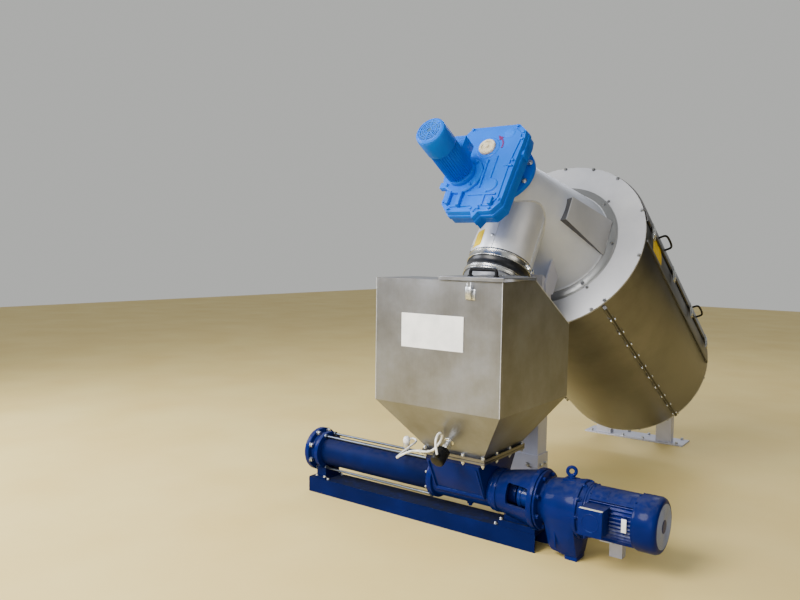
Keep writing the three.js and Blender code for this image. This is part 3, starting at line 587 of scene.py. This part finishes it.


# Sprayed enamel on a casting is satin, thin and paler on its edges. Faces that look up take a
# second tone: grey-brown dust on most castings, painted shade on the skid and its pedestals, a
# light violet grey on the motor's fins. The sand mould's fine lumps are drawn 3 to 5 mm wide so
# that they show.
def enamel(name, tones, edge_tone, roughness, coat, lumps, dust, dust_tone="#6f675c"):
    made, tree, place = blank(name)
    cloud = node(tree, "TexNoise", {"Scale": 1000 / 160, "Detail": 5}, {"Vector": place})
    lumpy = node(tree, "TexNoise", {"Scale": 1000 / lumps, "Detail": 2}, {"Vector": place})
    scuff = node(tree, "TexNoise", {"Scale": 1000 / 22, "Detail": 5}, {"Vector": place})
    normal = node(tree, "NewGeometry").outputs["Normal"]
    rounded = node(tree, "Bevel", {"samples": 4, "Radius": 0.0025})
    bend = node(tree, "VectorMath", {"operation": "DOT_PRODUCT"}, {0: rounded, 1: normal})
    on_edge = node(tree, "MapRange", {"From Min": 0.98, "From Max": 0.86, "To Max": 0.7},
                   {"Value": bend.outputs["Value"]})
    rubbed = node(tree, "MapRange", {"From Min": 0.54, "From Max": 0.66}, {"Value": scuff})
    thin = node(tree, "Math", {"operation": "MULTIPLY"}, {0: on_edge, 1: rubbed})
    painted = node(tree, "MixRGB", {2: srgb(edge_tone)}, {0: thin, 1: ramp(tree, cloud, tones)})
    facing = node(tree, "SeparateXYZ", {}, {0: normal})
    upward = node(tree, "MapRange", {"From Min": 0.5, "From Max": 0.95}, {"Value": facing.outputs["Z"]})
    patchy = node(tree, "MapRange", {"From Min": 0.35, "From Max": 0.6, "To Min": dust * 0.25,
                                     "To Max": dust}, {"Value": scuff})
    settled = node(tree, "Math", {"operation": "MULTIPLY"}, {0: upward, 1: patchy})
    dusty = node(tree, "MixRGB", {2: srgb(dust_tone)}, {0: settled, 1: painted})
    gloss = node(tree, "MapRange", {"To Min": roughness - 0.06, "To Max": roughness + 0.14},
                 {"Value": scuff})
    matt = node(tree, "MixRGB", {2: (0.8, 0.8, 0.8, 1)}, {0: settled, 1: gloss})
    raised = node(tree, "Bump", {"Strength": 0.25, "Distance": 0.0006}, {"Height": lumpy})
    finished(tree, {"IOR": 1.5, "Specular IOR Level": 0.05, "Coat Weight": coat, "Coat Roughness": 0.1},
             {"Base Color": dusty, "Roughness": matt, "Normal": raised})
    return made


light_blue = enamel(
    "light_blue_sprayed_enamel", {0.3: "#005cce", 0.6: "#0066da", 0.8: "#0070e6"},
    "#2b92f4", 0.4, 0.06, 4, 0.02)


def drive_piece(name, edge):
    return on_drum(name, light_blue, edge)


prism(CASE_OUTLINE, CASE_FRONT_S, CASE_BACK_S, along_s)
prism(resized(CASE_OUTLINE, 5), -752, -726, along_s)
prism(resized(CASE_OUTLINE, -26), -787, CASE_FRONT_S, along_s)
for low, high in (
        ((-176, -802, -213), (-96, -775, -183)), ((-146, -797, -118), (-60, -780, -106)),
        ((-150, -797, -176), (-140, -780, -60)), ((20, -796, -210), (30, -780, -60)),
        ((60, -794, -300), (70, -780, -40)), ((-20, -796, -250), (120, -780, -240)),
        ((110, -792, -100), (152, -780, -92)), ((-170, -740, -20), (-150, -700, 30)),
        ((150, -760, -20), (172, -705, 4)), ((-118, -806, -296), (-100, -780, -232)),
        ((-60, -806, -306), (-42, -780, -236)), ((96, -802, -300), (116, -780, -262))):
    block(low, high)
turned([(-804, 92), (-800, 98), (-775, 98)], MOTOR_AT, sides=72)
turned([(-792, 52), (-788, 58), (-778, 60)], (0, 0, 6), sides=64)
turned([(-795, 30), (-790, 34), (-778, 36)], (78, 0, -196), sides=48)
turned([(-790, 24), (-778, 30)], (88, 0, 82), sides=40)
turned([(-695, 126), (-668, 112), (-612.6, 112)])
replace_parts(drive_piece("gearmotor_case", 3.0), "drive_gear_case")

FLANGE_S = -612.3
turned([(FLANGE_S, 150), (-590.3, 150)], sides=112)
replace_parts(drive_piece("gearmotor_flange", 1.6), "drive_flange")
for x, n in circle(8, 131, 0.5):
    hex_bolt((x, FLANGE_S, n), TO_FRONT, 19, 11)
on_drum("flange_bolts", zinc)
for u, v in resized(CASE_OUTLINE, -15):
    if v > -330:
        hex_bolt((u, CASE_FRONT_S, v), TO_FRONT, 13, 8)
for x, n in circle(4, 84, 0.5):
    hex_bolt((MOTOR_X + x, -804, MOTOR_N + n), TO_FRONT, 13, 8)
drive_piece("gearmotor_screws", 0.5)

# Shaft cap and arrow. A moulded plug in matt, slightly stained beige is pressed into the hollow
# shaft's end; the arrow is brushed on by hand, streaky, and shows which way the shaft turns.
beige = mottled("moulded_beige_polypropylene", 22, 4, {0.35: "#b5ab8e", 0.65: "#d6cdb2"},
                {"Roughness": 0.5, "IOR": 1.49})
turned([(-792.4, 40), (-801, 40), (-805, 37), (-805, 26), (-801, 24), (-801, 9), (-806, 8)],
       (0, 0, 6), sides=72)
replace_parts(on_drum("hollow_shaft_cap", beige), "shaft_cap")

magenta = mottled("brushed_on_magenta_paint", 6, 3, {0.3: "#490f4e", 0.7: "#6e1756"},
                  {"Roughness": 0.45, "IOR": 1.5})
ARROW = [Vector(p) for p in ((69, 2), (71, 16), (69, 30), (63, 43), (55, 54))]
centre = smooth_line(ARROW, 4)
sides = [(p, (b - a).orthogonal().normalized() * 4)
         for a, p, b in zip([centre[0]] + centre, centre, centre[1:] + [centre[-1]])]
for outline in ([p + out for p, out in sides] + [p - out for p, out in sides[::-1]],
                [(64, 61), (32, 74), (47, 44)]):
    prism(outline, -788.6, -786.6, along_s)
on_drum("rotation_arrow", magenta)


def finned(start, end, radius, root_radius, count, to, bare=(0, 0)):
    outline = []
    for k in range(count):
        for turn, r in (
                (0.0, root_radius), (0.34, root_radius), (0.42, radius), (0.58, radius), (0.66, root_radius)):
            a = math.tau * (k + turn) / count
            if bare[0] < math.degrees(a) < bare[1]:
                r = radius - 1
            outline.append((r * math.cos(a), r * math.sin(a)))
    prism(outline, start, end, to)


def by_motor(x, n, s):
    return Vector((MOTOR_X + x, s, MOTOR_N + n))


finned(-995, -830, 66, 57, 36, by_motor)
turned([(-802.4, 66), (-826, 66), (-832, 60)], MOTOR_AT, sides=72)
turned([(-992, 64), (-1009.8, 64)], MOTOR_AT, sides=72)
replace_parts(drive_piece("gearmotor_motor", 0.8), "drive_motor")
turned([(-1000, 64.5), (-1000, 69), (-1086, 69), (-1098, 66), (-1104, 59), (-1106, 54), (-1103, 53),
        (-1103, 0)], MOTOR_AT, form="shell")
for r in (14, 24, 34, 44):
    turned([(-1103, r - 2), (-1106, r - 2), (-1106, r + 2), (-1103, r + 2)], MOTOR_AT, sides=64,
           form="ring")
for k in range(8):
    made = block((12, -1105.6, -2), (54, -1102, 2))
    bmesh.ops.rotate(bm, verts=made, cent=(0, 0, 0), matrix=Matrix.Rotation(math.tau * k / 8, 3, "Y"))
    bmesh.ops.translate(bm, verts=made, vec=MOTOR_AT)
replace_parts(drive_piece("gearmotor_fan_cover", 0.5), "drive_fan_cover")
# Behind the grille's slots a disc of dull slate blue, with dust in it, is painted shade that
# stands for the dark fan there.
fan_shadow = enamel("painted_fan_shade_enamel", {0.3: "#24476e", 0.7: "#3a648f"}, "#5b83ad", 0.6, 0.0, 3, 0.3)
turned([(-1103.5, 50), (-1102, 50)], MOTOR_AT, sides=64)
on_drum("gearmotor_fan_shadow", fan_shadow)
block((-87, -925, -95), (-29, -850, -42))
block((-87, -925, -41), (-29, -850, -31))
turned([(0, 11), (14, 11), (16, 9), (28, 9), (30, 6)], (-58, -850, -62), TO_BACK, 24)
for x, s in product((-80, -36), (-917, -858)):
    hex_bolt((x, s, -31), UP, 8, 4)
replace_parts(drive_piece("gearmotor_terminal_box", 2.0), "drive_terminal_box")

# Hopper. A welded box of brushed stainless sheet with four tapers that lead down to the pump;
# the welds at its front corners and along its sloping top shine.
brushed_sheet = steel_sheet(
    "brushed_stainless_sheet", {0.3: "#767678", 0.5: "#86888d", 0.7: "#9498a3"},
    0.4, 2, 3, 240, streak=0.1, metallic=0.9)
clad(["hopper_body"], brushed_sheet)
clad(["hopper_flange"], mill_sheet)
PUMP_Y = -426.5
FRONT = PUMP_Y - 326
BACK = PUMP_Y + 291
SLOPE = PUMP_Y - 47
HOPPER_TOP = 1148
REAR_TOP = HOPPER_TOP - (BACK - SLOPE) * math.tan(TILT)
for side in (-1, 1):
    for run in ([(311.4 * side, FRONT + 0.6, 1147), (311.4 * side, FRONT + 0.6, 616)],
                [(312 * side, SLOPE, HOPPER_TOP), (312 * side, BACK, REAR_TOP)]):
        start, end = map(Vector, run)
        steps = int((end - start).length / 6)
        bead([start.lerp(end, k / steps) for k in range(steps + 1)], 1.8)
piece("hopper_welds", weld_metal)

FLANGE_TOP = 390.6
FLANGE_LOW = 366.4
for x, y in [*product((-150, -50, 50, 150), (-171, 171)), *product((-150, 150), (-57, 57))]:
    hex_bolt((x, PUMP_Y + y, FLANGE_TOP), UP, 13, 8, 1.5)
    hex_bolt((x, PUMP_Y + y, FLANGE_LOW), DOWN, 13, 9, 1.5)
    turned([(9, 4), (15, 4), (16, 3)], (x, PUMP_Y + y, FLANGE_LOW), DOWN, 16)
piece("outlet_bolts", zinc)

# Sign plate. A thin white vinyl film, stuck flat on the hopper's front and left blank; it is
# smooth and a little glossy, with faint grime in wide patches.
film = mottled("blank_white_vinyl_film", 60, 5, {0.3: "#e3e6e8", 0.6: "#f4f6f8"},
               {"Roughness": 0.3, "IOR": 1.54})
clad(["sign_plate"], film)

# Lid. A shallow stainless tray over the hopper's front half, with two rolled knuckles on the
# hinge pin behind, a black bar handle, and a pressed toggle latch riveted on in front.
LID_TOP = 1164
LID_BACK = PUMP_Y - 62
LID_FRONT = FRONT - 10
LID_LEFT, LID_RIGHT = 17, 322
HINGE = (0, PUMP_Y - 53, 1158)
block((LID_LEFT, LID_FRONT, LID_TOP - 3.5), (LID_RIGHT, LID_BACK, LID_TOP))
for x0, x1, y0, y1 in (
        (LID_LEFT, LID_RIGHT, LID_FRONT, LID_FRONT + 3), (LID_LEFT, LID_LEFT + 3, LID_FRONT, LID_BACK),
        (LID_RIGHT - 3, LID_RIGHT, LID_FRONT, LID_BACK), (LID_LEFT, LID_RIGHT, LID_BACK - 3, LID_BACK)):
    block((x0, y0, 1149.4), (x1, y1, LID_TOP - 1))
for x0, x1 in ((72, 150), (178, 256)):
    turned([(x0, 4.2), (x0, 9), (x1, 9), (x1, 4.2)], HINGE, TO_RIGHT, 32, "ring")
    block((x0 + 1, LID_BACK - 4, 1152), (x1 - 1, LID_BACK + 3, 1163))
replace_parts(piece("lid_tray", brushed_sheet, body="hopper_lid", edge=0.8), "hopper_lid")
GRIP_Y = PUMP_Y - 215
grip = [Vector((x, GRIP_Y, LID_TOP + z)) for x, z in (
    (95, 0), (95, 16), (98, 24), (106, 28), (160, 28), (208, 28), (216, 24), (219, 16), (219, 0))]
tube(smooth_line(grip, 5), 7.5, 16)
for x in (95, 219):
    turned([(0, 12), (4, 12), (6, 9)], (x, GRIP_Y, LID_TOP), UP, 24)
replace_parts(piece("lid_grip", polyamide, body="hopper_lid", edge=0.4), "lid_handle")
LATCH_X = 168
for x0, x1, out, back, low in ((-22, 22, 2.5, 0.3, 1074), (-15, -12, 13, 2, 1084), (12, 15, 13, 2, 1084)):
    block((LATCH_X + x0, FRONT - out, low), (LATCH_X + x1, FRONT - back, 1116))
prism([(-13, 1076), (-17, 1078), (-22, 1098), (-20, 1126), (-16, 1126), (-18, 1099), (-13, 1082),
       (-9, 1080)], LATCH_X - 12, LATCH_X + 12, lambda y, z, x: Vector((x, FRONT + y, z)))
turned([(LATCH_X - 15, 3.5), (LATCH_X + 15, 3.5)], (0, FRONT - 9, 1108), TO_RIGHT, 16)
for x in (LATCH_X - 8, LATCH_X + 8):
    tube([Vector((x, FRONT + y, z)) for y, z in ((-15, 1108), (-14.5, 1126), (-13, 1141))], 2.0, 10)
for x in (LATCH_X - 18, LATCH_X + 18):
    turned([(0, 3), (-1.2, 2), (-1.6, 0)], (x, FRONT - 2.5, 1095), TO_BACK, 16)
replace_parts(piece("toggle_latch", zinc, edge=0.4), "lid_latch")
clad(["lid_hinge"], bright_band)

# Level sensor. A bright threaded socket welded into the front taper and a black moulded head
# with a ribbed union nut; the dry-running sensor is a white-capped probe on the stator.
TAPER = math.atan2(163, 224)
SENSOR = (Matrix.Translation((2, PUMP_Y - 163 - 61 * math.tan(TAPER), 452))
          @ Matrix.Rotation(QUARTER + TAPER, 4, "X"))
for profile, sides in (([(0.3, 24), (4, 24), (6, 20)], 48), ([(6, 17), (30, 17)], 48),
                       ([(28, 20.5), (49.8, 20.5)], 6)):
    turned(profile, axis=UP, sides=sides)
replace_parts(piece("sensor_socket", bright_band, at=SENSOR, edge=0.8), "level_sensor_socket")
finned(50.3, 66, 30, 28, 24, lambda x, y, z: Vector((x, y, z)))
turned([(66, 29), (70, 31), (112, 31), (117, 28), (118, 22)], axis=UP, sides=64)
turned([(0, 10), (10, 10), (13, 8), (18, 7.5)], (8.1, 25.8, 106), (0.3, 0.954, 0), 24)
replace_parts(piece("sensor_head", polyamide, at=SENSOR, edge=0.6), "level_sensor_head")

# Moulded white polyamide is satin, and greyer where hands have held it.
white_plastic = mottled(
    "moulded_white_polyamide", 18, 4, {0.3: "#cfd0cd", 0.6: "#eeefee"},
    {"Roughness": 0.38, "IOR": 1.53})
PROBE_X = -378
PROBE_AXIS = (PROBE_X, PUMP_Y - 8, 0), UP
turned([(342, 15), (350, 17), (360, 17), (368, 14), (374, 8), (376, 0)], *PROBE_AXIS, 48)
turned([(280, 8), (290, 8), (294, 6.5), (299, 6)], (PROBE_X - 18, PUMP_Y + 14.5, 0), UP, 24)
piece("dry_running_probe", white_plastic, edge=0.4)
turned([(283, 15), (290, 15), (290, 11), (322, 11)], *PROBE_AXIS, 40)
turned([(318, 16.5), (343, 16.5)], *PROBE_AXIS, 6)
piece("probe_socket", bright_band, edge=0.8)
# A small clip holds the lead at the corner of the hopper's flange.
turned([(-5, 5.2), (-5, 8), (5, 8), (5, 5.2)], (-165, -615, 377), (0.87, -0.4, 0.2), 24, "ring")
block((-168, -612, 372.5), (-156, -602, 378))
piece("lead_clip", white_plastic, edge=0.4)

# Pump discharge. A cast flange with its neck, drilled for eight bolts and open down the bore;
# the pump is sprayed in a dark blue gloss enamel that lets the steel show at rubbed edges.
PUMP_Z = 217
PUMP_AXIS = (0, PUMP_Y, PUMP_Z), TO_RIGHT
dark_blue = enamel(
    "dark_blue_gloss_enamel", {0.3: "#02134f", 0.6: "#031860", 0.8: "#051e70"},
    "#2a4a98", 0.32, 0.08, 5, 0.34, "#50535e")


def casting(name, edge=0.0, sharp=CREASE):
    return piece(name, dark_blue, edge=edge, sharp=sharp)


def by_pump(y, z, x):
    return Vector((x, PUMP_Y + y, PUMP_Z + z))


def pump_bolts(x, count, radius, turn, direction, *size):
    for y, z in circle(count, radius, turn):
        hex_bolt(by_pump(y, z, x), direction, *size)


turned([(-963, 50), (-963, 84), (-961, 84), (-961, 110), (-935, 110), (-935, 88), (-912, 84), (-908, 96),
        (-886.3, 96), (-886.3, 0), (-923, 0), (-923, 50)], *PUMP_AXIS, 112, "ring")
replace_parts(casting("discharge_flange", 1.6), "pump_discharge_flange")
pump_bolts(-935, 8, 97, 0.5, TO_RIGHT, 19, 11)
piece("discharge_bolts", zinc)

# Stator. A rubber-lined steel tube clamped between its two end castings by four zinc-plated tie
# rods with nuts. Tube and castings are painted the same blue; the tube's paint is drawn darker
# as painted shade.
stator_blue = enamel(
    "shaded_dark_blue_enamel", {0.3: "#010b33", 0.6: "#020f40", 0.8: "#03144e"},
    "#2a4a98", 0.48, 0.0, 5, 0.3, "#3c3c42")
turned([(-886, 70), (-872, 70), (-868, 74), (-218, 74), (-214, 70), (-200.3, 70)], *PUMP_AXIS, 112)
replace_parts(piece("stator_tube", stator_blue, edge=1.2), "pump_stator")
for dy, dz in product((-33, 33), (-85, 81)):
    for x0, x1, radius, sides in ((-905, -186, 6, 20), (-886, -874, 12.5, 6), (-212, -200, 12.5, 6)):
        turned([(x0, radius), (x1, radius)], by_pump(dy, dz, 0), TO_RIGHT, sides)
# Their plating has dulled to a leaden grey.
dull_zinc = steel_sheet(
    "dulled_zinc_plated_rod", {0.3: "#59616f", 0.6: "#6f7785", 0.8: "#868e9b"}, 0.36, 0, 30, 30)
piece("tie_rods", dull_zinc, edge=0.5)


# Suction housing. A cast barrel with a rectangular throat that flares up to the hopper's
# flange, bolted to the stator on one side and to the lantern on the other.
def flare(low, high, z0, z1):
    loft([[bm.verts.new((x, PUMP_Y + y, z)) for x, y in ((x0, y0), (x1, y0), (x1, y1), (x0, y1))]
          for (x0, x1, y0, y1), z in ((low, z0), (high, z1))])


turned([(-200, 98), (-172, 98), (-170, 84), (130, 84), (130, 94), (144, 94)], *PUMP_AXIS)
THROAT = (-154, 124, -165, 165)
THROAT_TOP = 348.7
flare((-150, 114, -84, 84), THROAT, PUMP_Z - 30, THROAT_TOP)
flare(THROAT, (-158, 158, -172, 172), THROAT_TOP - 0.3, 366.9)
LEAN = (165 - 84) / (THROAT_TOP - PUMP_Z + 30)
RIB = [(-84, -30), (-84 - 146 * LEAN, 116), (-84 - 146 * LEAN - 6, 116), (-91, -26)]
LOW_RIB = [(-84, -34), (-91, -30), (-94, -16), (-89, -14)]
for side in (-1, 1):
    for outline, x0, x1 in ((RIB, -146, -137), (RIB, 104, 113), (LOW_RIB, -146, 113)):
        prism(outline, x0, x1, lambda y, z, x: by_pump(-y * side, z, x))
turned([(PUMP_Z - 106, 9), (PUMP_Z - 96, 9), (PUMP_Z - 96, 15), (PUMP_Z - 70, 15)],
       (-14, PUMP_Y, 0), UP, 24)
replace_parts(casting("suction_casting", 2.0), "pump_suction_housing")
# A bare counter flange with a rubber gasket lies between the casting and the hopper's flange.
block((-161, PUMP_Y - 180, 366.6), (161, PUMP_Y + 180, 376))
piece("counter_flange", mill_sheet, edge=0.8)
block((-160, PUMP_Y - 179, 376.1), (160, PUMP_Y + 179, 378.9))
piece("flange_gasket", epdm, edge=0.4)
pump_bolts(-200, 8, 91, 0.5, TO_LEFT, 11, 7)
piece("housing_bolts", zinc)

# Lantern and coupling. The open cast bracket between pump and gear case has a window on each
# side; through it shows the painted steel coupling that joins the two shafts.
turned([(144.3, 27), (144.3, 96), (164.3, 96), (165, 91), (332, 124), (333, 132), (357, 132), (357, 113),
        (159, 74), (158.3, 27)], *PUMP_AXIS, 112, "ring")
lantern = casting("lantern_casting", 1.6)
# Two blocks with rounded corners cut the windows.
for y in (PUMP_Y - 120, PUMP_Y + 120):
    block((222, y - 80, PUMP_Z - 21), (330, y + 80, PUMP_Z + 67))
bmesh.ops.bevel(bm, geom=[e for e in bm.edges if abs(e.verts[0].co.y - e.verts[1].co.y) > 50], offset=9,
                segments=4, affect="EDGES", profile=0.5)
bm.transform(MM)
cutter = linked("window_cutter", mesh_of("window_cutter"))
opening = lantern.modifiers.new("windows", "BOOLEAN")
opening.object = cutter
opening.solver = "EXACT"
bpy.context.view_layer.update()
cut = bpy.data.meshes.new_from_object(lantern.evaluated_get(bpy.context.evaluated_depsgraph_get()))
lantern.modifiers.clear()
lantern.data = cut
cut.set_sharp_from_angle(angle=math.radians(CREASE))
bpy.data.objects.remove(cutter)
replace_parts(lantern, "pump_lantern")

# The coupling's enamel is handled more, so it shines and is rubbed down to grey at its rims.
worn_blue = enamel(
    "rubbed_dark_blue_enamel", {0.3: "#0a2266", 0.6: "#123080", 0.8: "#1c3f96"},
    "#a9b4cc", 0.26, 0.3, 5, 0.3, "#565a66")
# The seal housing is a turned ring screwed to the pump's cover; it stands into the lantern.
turned([(160, 33), (160, 62), (168, 62), (170, 50), (238, 47), (240, 45), (240, 33)], *PUMP_AXIS,
       form="ring")
pump_bolts(168, 4, 56, 0.5, TO_RIGHT, 10, 6, 1)
casting("seal_housing", 1.0)
turned([(147, 26), (248, 26), (250, 28), (250, 54), (253, 57.8), (268, 57.8), (270, 53), (294, 53),
        (296, 50), (300, 50), (300, 56), (302, 57.8), (321, 57.8), (323, 56), (323, 26), (351, 26)],
       *PUMP_AXIS)
pump_bolts(250, 6, 42, 0, TO_LEFT, 8, 3, 1)
for k in range(3):
    y, z = math.cos(math.tau * k / 3 + 0.4), math.sin(math.tau * k / 3 + 0.4)
    turned([(0, 5.5), (4.4, 5.5), (4.4, 3), (2, 0)], by_pump(51 * y, 51 * z, 282), (0, y, z), 20)
coupling = piece("shaft_coupling", worn_blue, body="coupling_shaft", edge=0.6)
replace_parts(coupling, "coupling_shaft")

# Pump gear case. A coaxial gear unit in cast iron that narrows down to its own foot, with a
# flange towards the lantern and a ring of lugs and screws towards the motor.
LUG_R = 111
FOOT = ((402, 46), (418, 30), (474, 20), (528, 20), (528, 46))
hull([by_pump(y, z, x) for x, radius in ((398, 103), (536, 121)) for y, z in circle(72, radius)]
     + [(x, PUMP_Y + y, z) for y in (-45, 45) for x, z in FOOT])
turned([(357.3, 124), (359, 126), (366.6, 126), (368.3, 124), (368.3, 96), (372, 91), (384, 91),
        (386, 96), (399, 102.5)], *PUMP_AXIS, 112)
turned([(535, 121), (546, 121), (548, 119), (548, 112), (569.7, 112)], *PUMP_AXIS, 112)
for y, z in circle(10, LUG_R):
    turned([(528, 10), (551, 10), (553, 8)], by_pump(y, z, 0), TO_RIGHT, 20)
block((474, PUMP_Y - 39, 0), (528, PUMP_Y + 39, 24))
block((450, PUMP_Y - 24, PUMP_Z + 104), (506, PUMP_Y + 24, PUMP_Z + 116.5))
prism([(-96, -8), (-100, -8), (-66, -170), (-62, -170)], 440, 447, by_pump)
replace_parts(casting("gear_unit", 1.8, sharp=38), "pump_gear_case")
pump_bolts(368.3, 8, 110, 0.5, TO_RIGHT, 17, 11)
pump_bolts(553, 10, LUG_R, 0, TO_RIGHT, 13, 8)
casting("gear_unit_screws", 0.5)
EYE = Matrix.Translation((478, PUMP_Y, 363)) @ Matrix.Rotation(math.radians(20), 4, "Z")
tube([EYE @ Vector((x, 0, z)) for x, z in circle(48, 17.5)], 7.2, 20, True)
turned([(332, 17), (339, 17), (341, 11), (348, 9)], (478, PUMP_Y, 0), UP, 40)
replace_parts(casting("lifting_eye"), "pump_lifting_eye")


# Pump motor. A finned standard motor with its fan cowl, terminal box and a bare rating plate;
# a pickled steel post carries it from below.
def arc(radius, degrees):
    return [(radius * math.cos(a), radius * math.sin(a)) for a in map(math.radians, degrees)]


# Faces that look up are painted a light violet grey, which draws the fins as stripes.
dusty_blue = enamel(
    "dark_blue_enamel_pale_on_top", {0.3: "#04155e", 0.6: "#071c70", 0.8: "#0b2480"},
    "#4763b0", 0.42, 0.08, 5, 0.75, "#8b90a2")
finned(590, 770, 106, 92, 40, by_pump, bare=(60, 134))
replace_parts(piece("motor_frame", dusty_blue, edge=0.7), "pump_motor")
turned([(570.3, 110), (578, 110), (580, 106.9), (590, 106.9), (592, 104)], *PUMP_AXIS)
turned([(768, 104), (770, 106.9), (785.7, 106.9)], *PUMP_AXIS)
PADS = range(104, 131, 3)
for start, end, top, rim in (
        (591, 769, 106.6, range(58, 137, 3)), (606, 660, 108, PADS), (700, 752, 108, PADS)):
    prism(arc(103, rim) + arc(top, rim)[::-1], start, end, by_pump)
for x, degrees in product((586, 774), (70, 96, 122)):
    y, z = arc(1, [degrees])[0]
    hex_bolt(by_pump(106.5 * y, 106.5 * z, x), (0, y, z), 8, 4, 1)
for z in (193, 257):
    turned([(-100, 4), (-109, 4), (-110, 3)], (746, PUMP_Y, z), TO_BACK, 16)
casting("motor_shields", 0.6)
turned([(778, 109), (786, 112), (848, 112), (860, 107), (866, 99), (868, 92), (866, 90), (866, 0)],
       *PUMP_AXIS, 112, "shell")
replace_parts(casting("fan_cowl", 0.8), "pump_fan_cover")
# The cowl's pressed end grille is violet grey with dust between its slots.
dusty_grille = steel_sheet(
    "dusty_pressed_grille", {0.3: "#747e9c", 0.6: "#858fae", 0.8: "#959fba"},
    0.62, 0, 4, 4, metallic=0.0)
turned([(866, 88), (867, 88)], *PUMP_AXIS)
for r in (36, 46, 56, 66, 76, 86):
    turned([(866.5, r - 2.5), (868.4, r - 2), (868.4, r + 2), (866.5, r + 2.5)], *PUMP_AXIS, form="ring")
piece("fan_grille", dusty_grille)
turned([(866, 28), (868.5, 26), (869.5, 12), (869, 0)], *PUMP_AXIS, 48)
casting("grille_boss")
BOX_TOP = PUMP_Z + 66
BOX_LOW = PUMP_Z - 39
block((588, PUMP_Y - 168, BOX_LOW), (682, PUMP_Y - 88, BOX_TOP - 3))
block((586, PUMP_Y - 175, BOX_LOW - 2), (684, PUMP_Y - 165, BOX_TOP - 1.5))
turned([(-173, 32), (-175.6, 33), (-176.4, 34.5), (-175.6, 36), (-173, 37)],
       (635, PUMP_Y, PUMP_Z + 12), TO_BACK, 56, "ring")
for x, z in product((593, 677), (BOX_LOW + 5, BOX_TOP - 9)):
    hex_bolt((x, PUMP_Y - 174.6, z), TO_FRONT, 6, 1, 0.3)
turned([(0, 12), (14, 12), (16, 9), (26, 9)], (600, PUMP_Y - 130, BOX_LOW), DOWN, 24)
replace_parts(casting("motor_terminal_box", 2.2), "pump_terminal_box")
# Settled dust has hidden the paint on the box lid's upper edge.
dust = mottled("settled_cream_dust", 8, 5, {0.3: "#b9b49f", 0.65: "#e4dfcc"},
               {"Roughness": 0.9, "IOR": 1.5}, bump=(0.4, 0.0004))
block((587.5, PUMP_Y - 174, BOX_TOP - 2), (682.5, PUMP_Y - 160, BOX_TOP - 0.4))
piece("terminal_box_dust", dust, edge=0.4)
block((736, PUMP_Y - 110.5, 198), (756, PUMP_Y - 108.5, 252))
piece("rating_plate", film, edge=0.4)
clad(["motor_support"], pickled_steel)

# Skid. A bent sheet channel in the same blue that carries the discharge foot and the lantern
# pedestal, both bolted through its top. Its enamel is thin and dull, and painted shade darkens
# the faces that look up.
dull_blue = enamel(
    "dull_dark_blue_sheet_enamel", {0.3: "#020d3a", 0.6: "#031146", 0.8: "#051754"},
    "#33508f", 0.5, 0.0, 3, 0.8, "#1f232d")
clad(["pump_skid", "stator_foot", "lantern_pedestal"], dull_blue)
for xs, half, z in (((-924, -870), 56, 88), ((-850, 150), 52, 78), ((180, 336), 57, 106)):
    for x, y in product(xs, (PUMP_Y - half, PUMP_Y + half)):
        hex_bolt((x, y, z), UP, 11, 7)
piece("skid_bolts", zinc)

# Labels and plugs. Two yellow vinyl films, satin and a little grimy, are stuck on and left
# blank, one on the drum and one on the chute; two zinc-plated plugs are screwed into the chute.
yellow = mottled("blank_yellow_vinyl_film", 30, 4, {0.3: "#cfae00", 0.6: "#e2c200"},
                 {"Roughness": 0.5, "IOR": 1.54, "Specular IOR Level": 0.15})
closed_sheet([[bm.verts.new(round_the_drum(radius, degrees, s)) for degrees in range(5, 19)]
              for radius, s in ((491.7, 140), (491.7, 298), (492.3, 298), (492.3, 140))])
on_drum("drum_label", yellow)
closed_sheet([[bm.verts.new((x, CHUTE_S + y, n)) for x, y in arc(CHUTE_R + lift, range(-136, -108, 3))]
              for lift, n in ((0.2, -262), (0.2, -346), (0.8, -346), (0.8, -262))])
on_drum("chute_label", yellow)
for degrees, n in ((-87, -300), (-150, -316)):
    out = Vector((*arc(1, [degrees])[0], 0))
    turned([(0, 7), (4, 7), (6, 4), (12, 4)], out * CHUTE_R + Vector((0, CHUTE_S, n)), out, 24)
on_drum("chute_plugs", zinc)
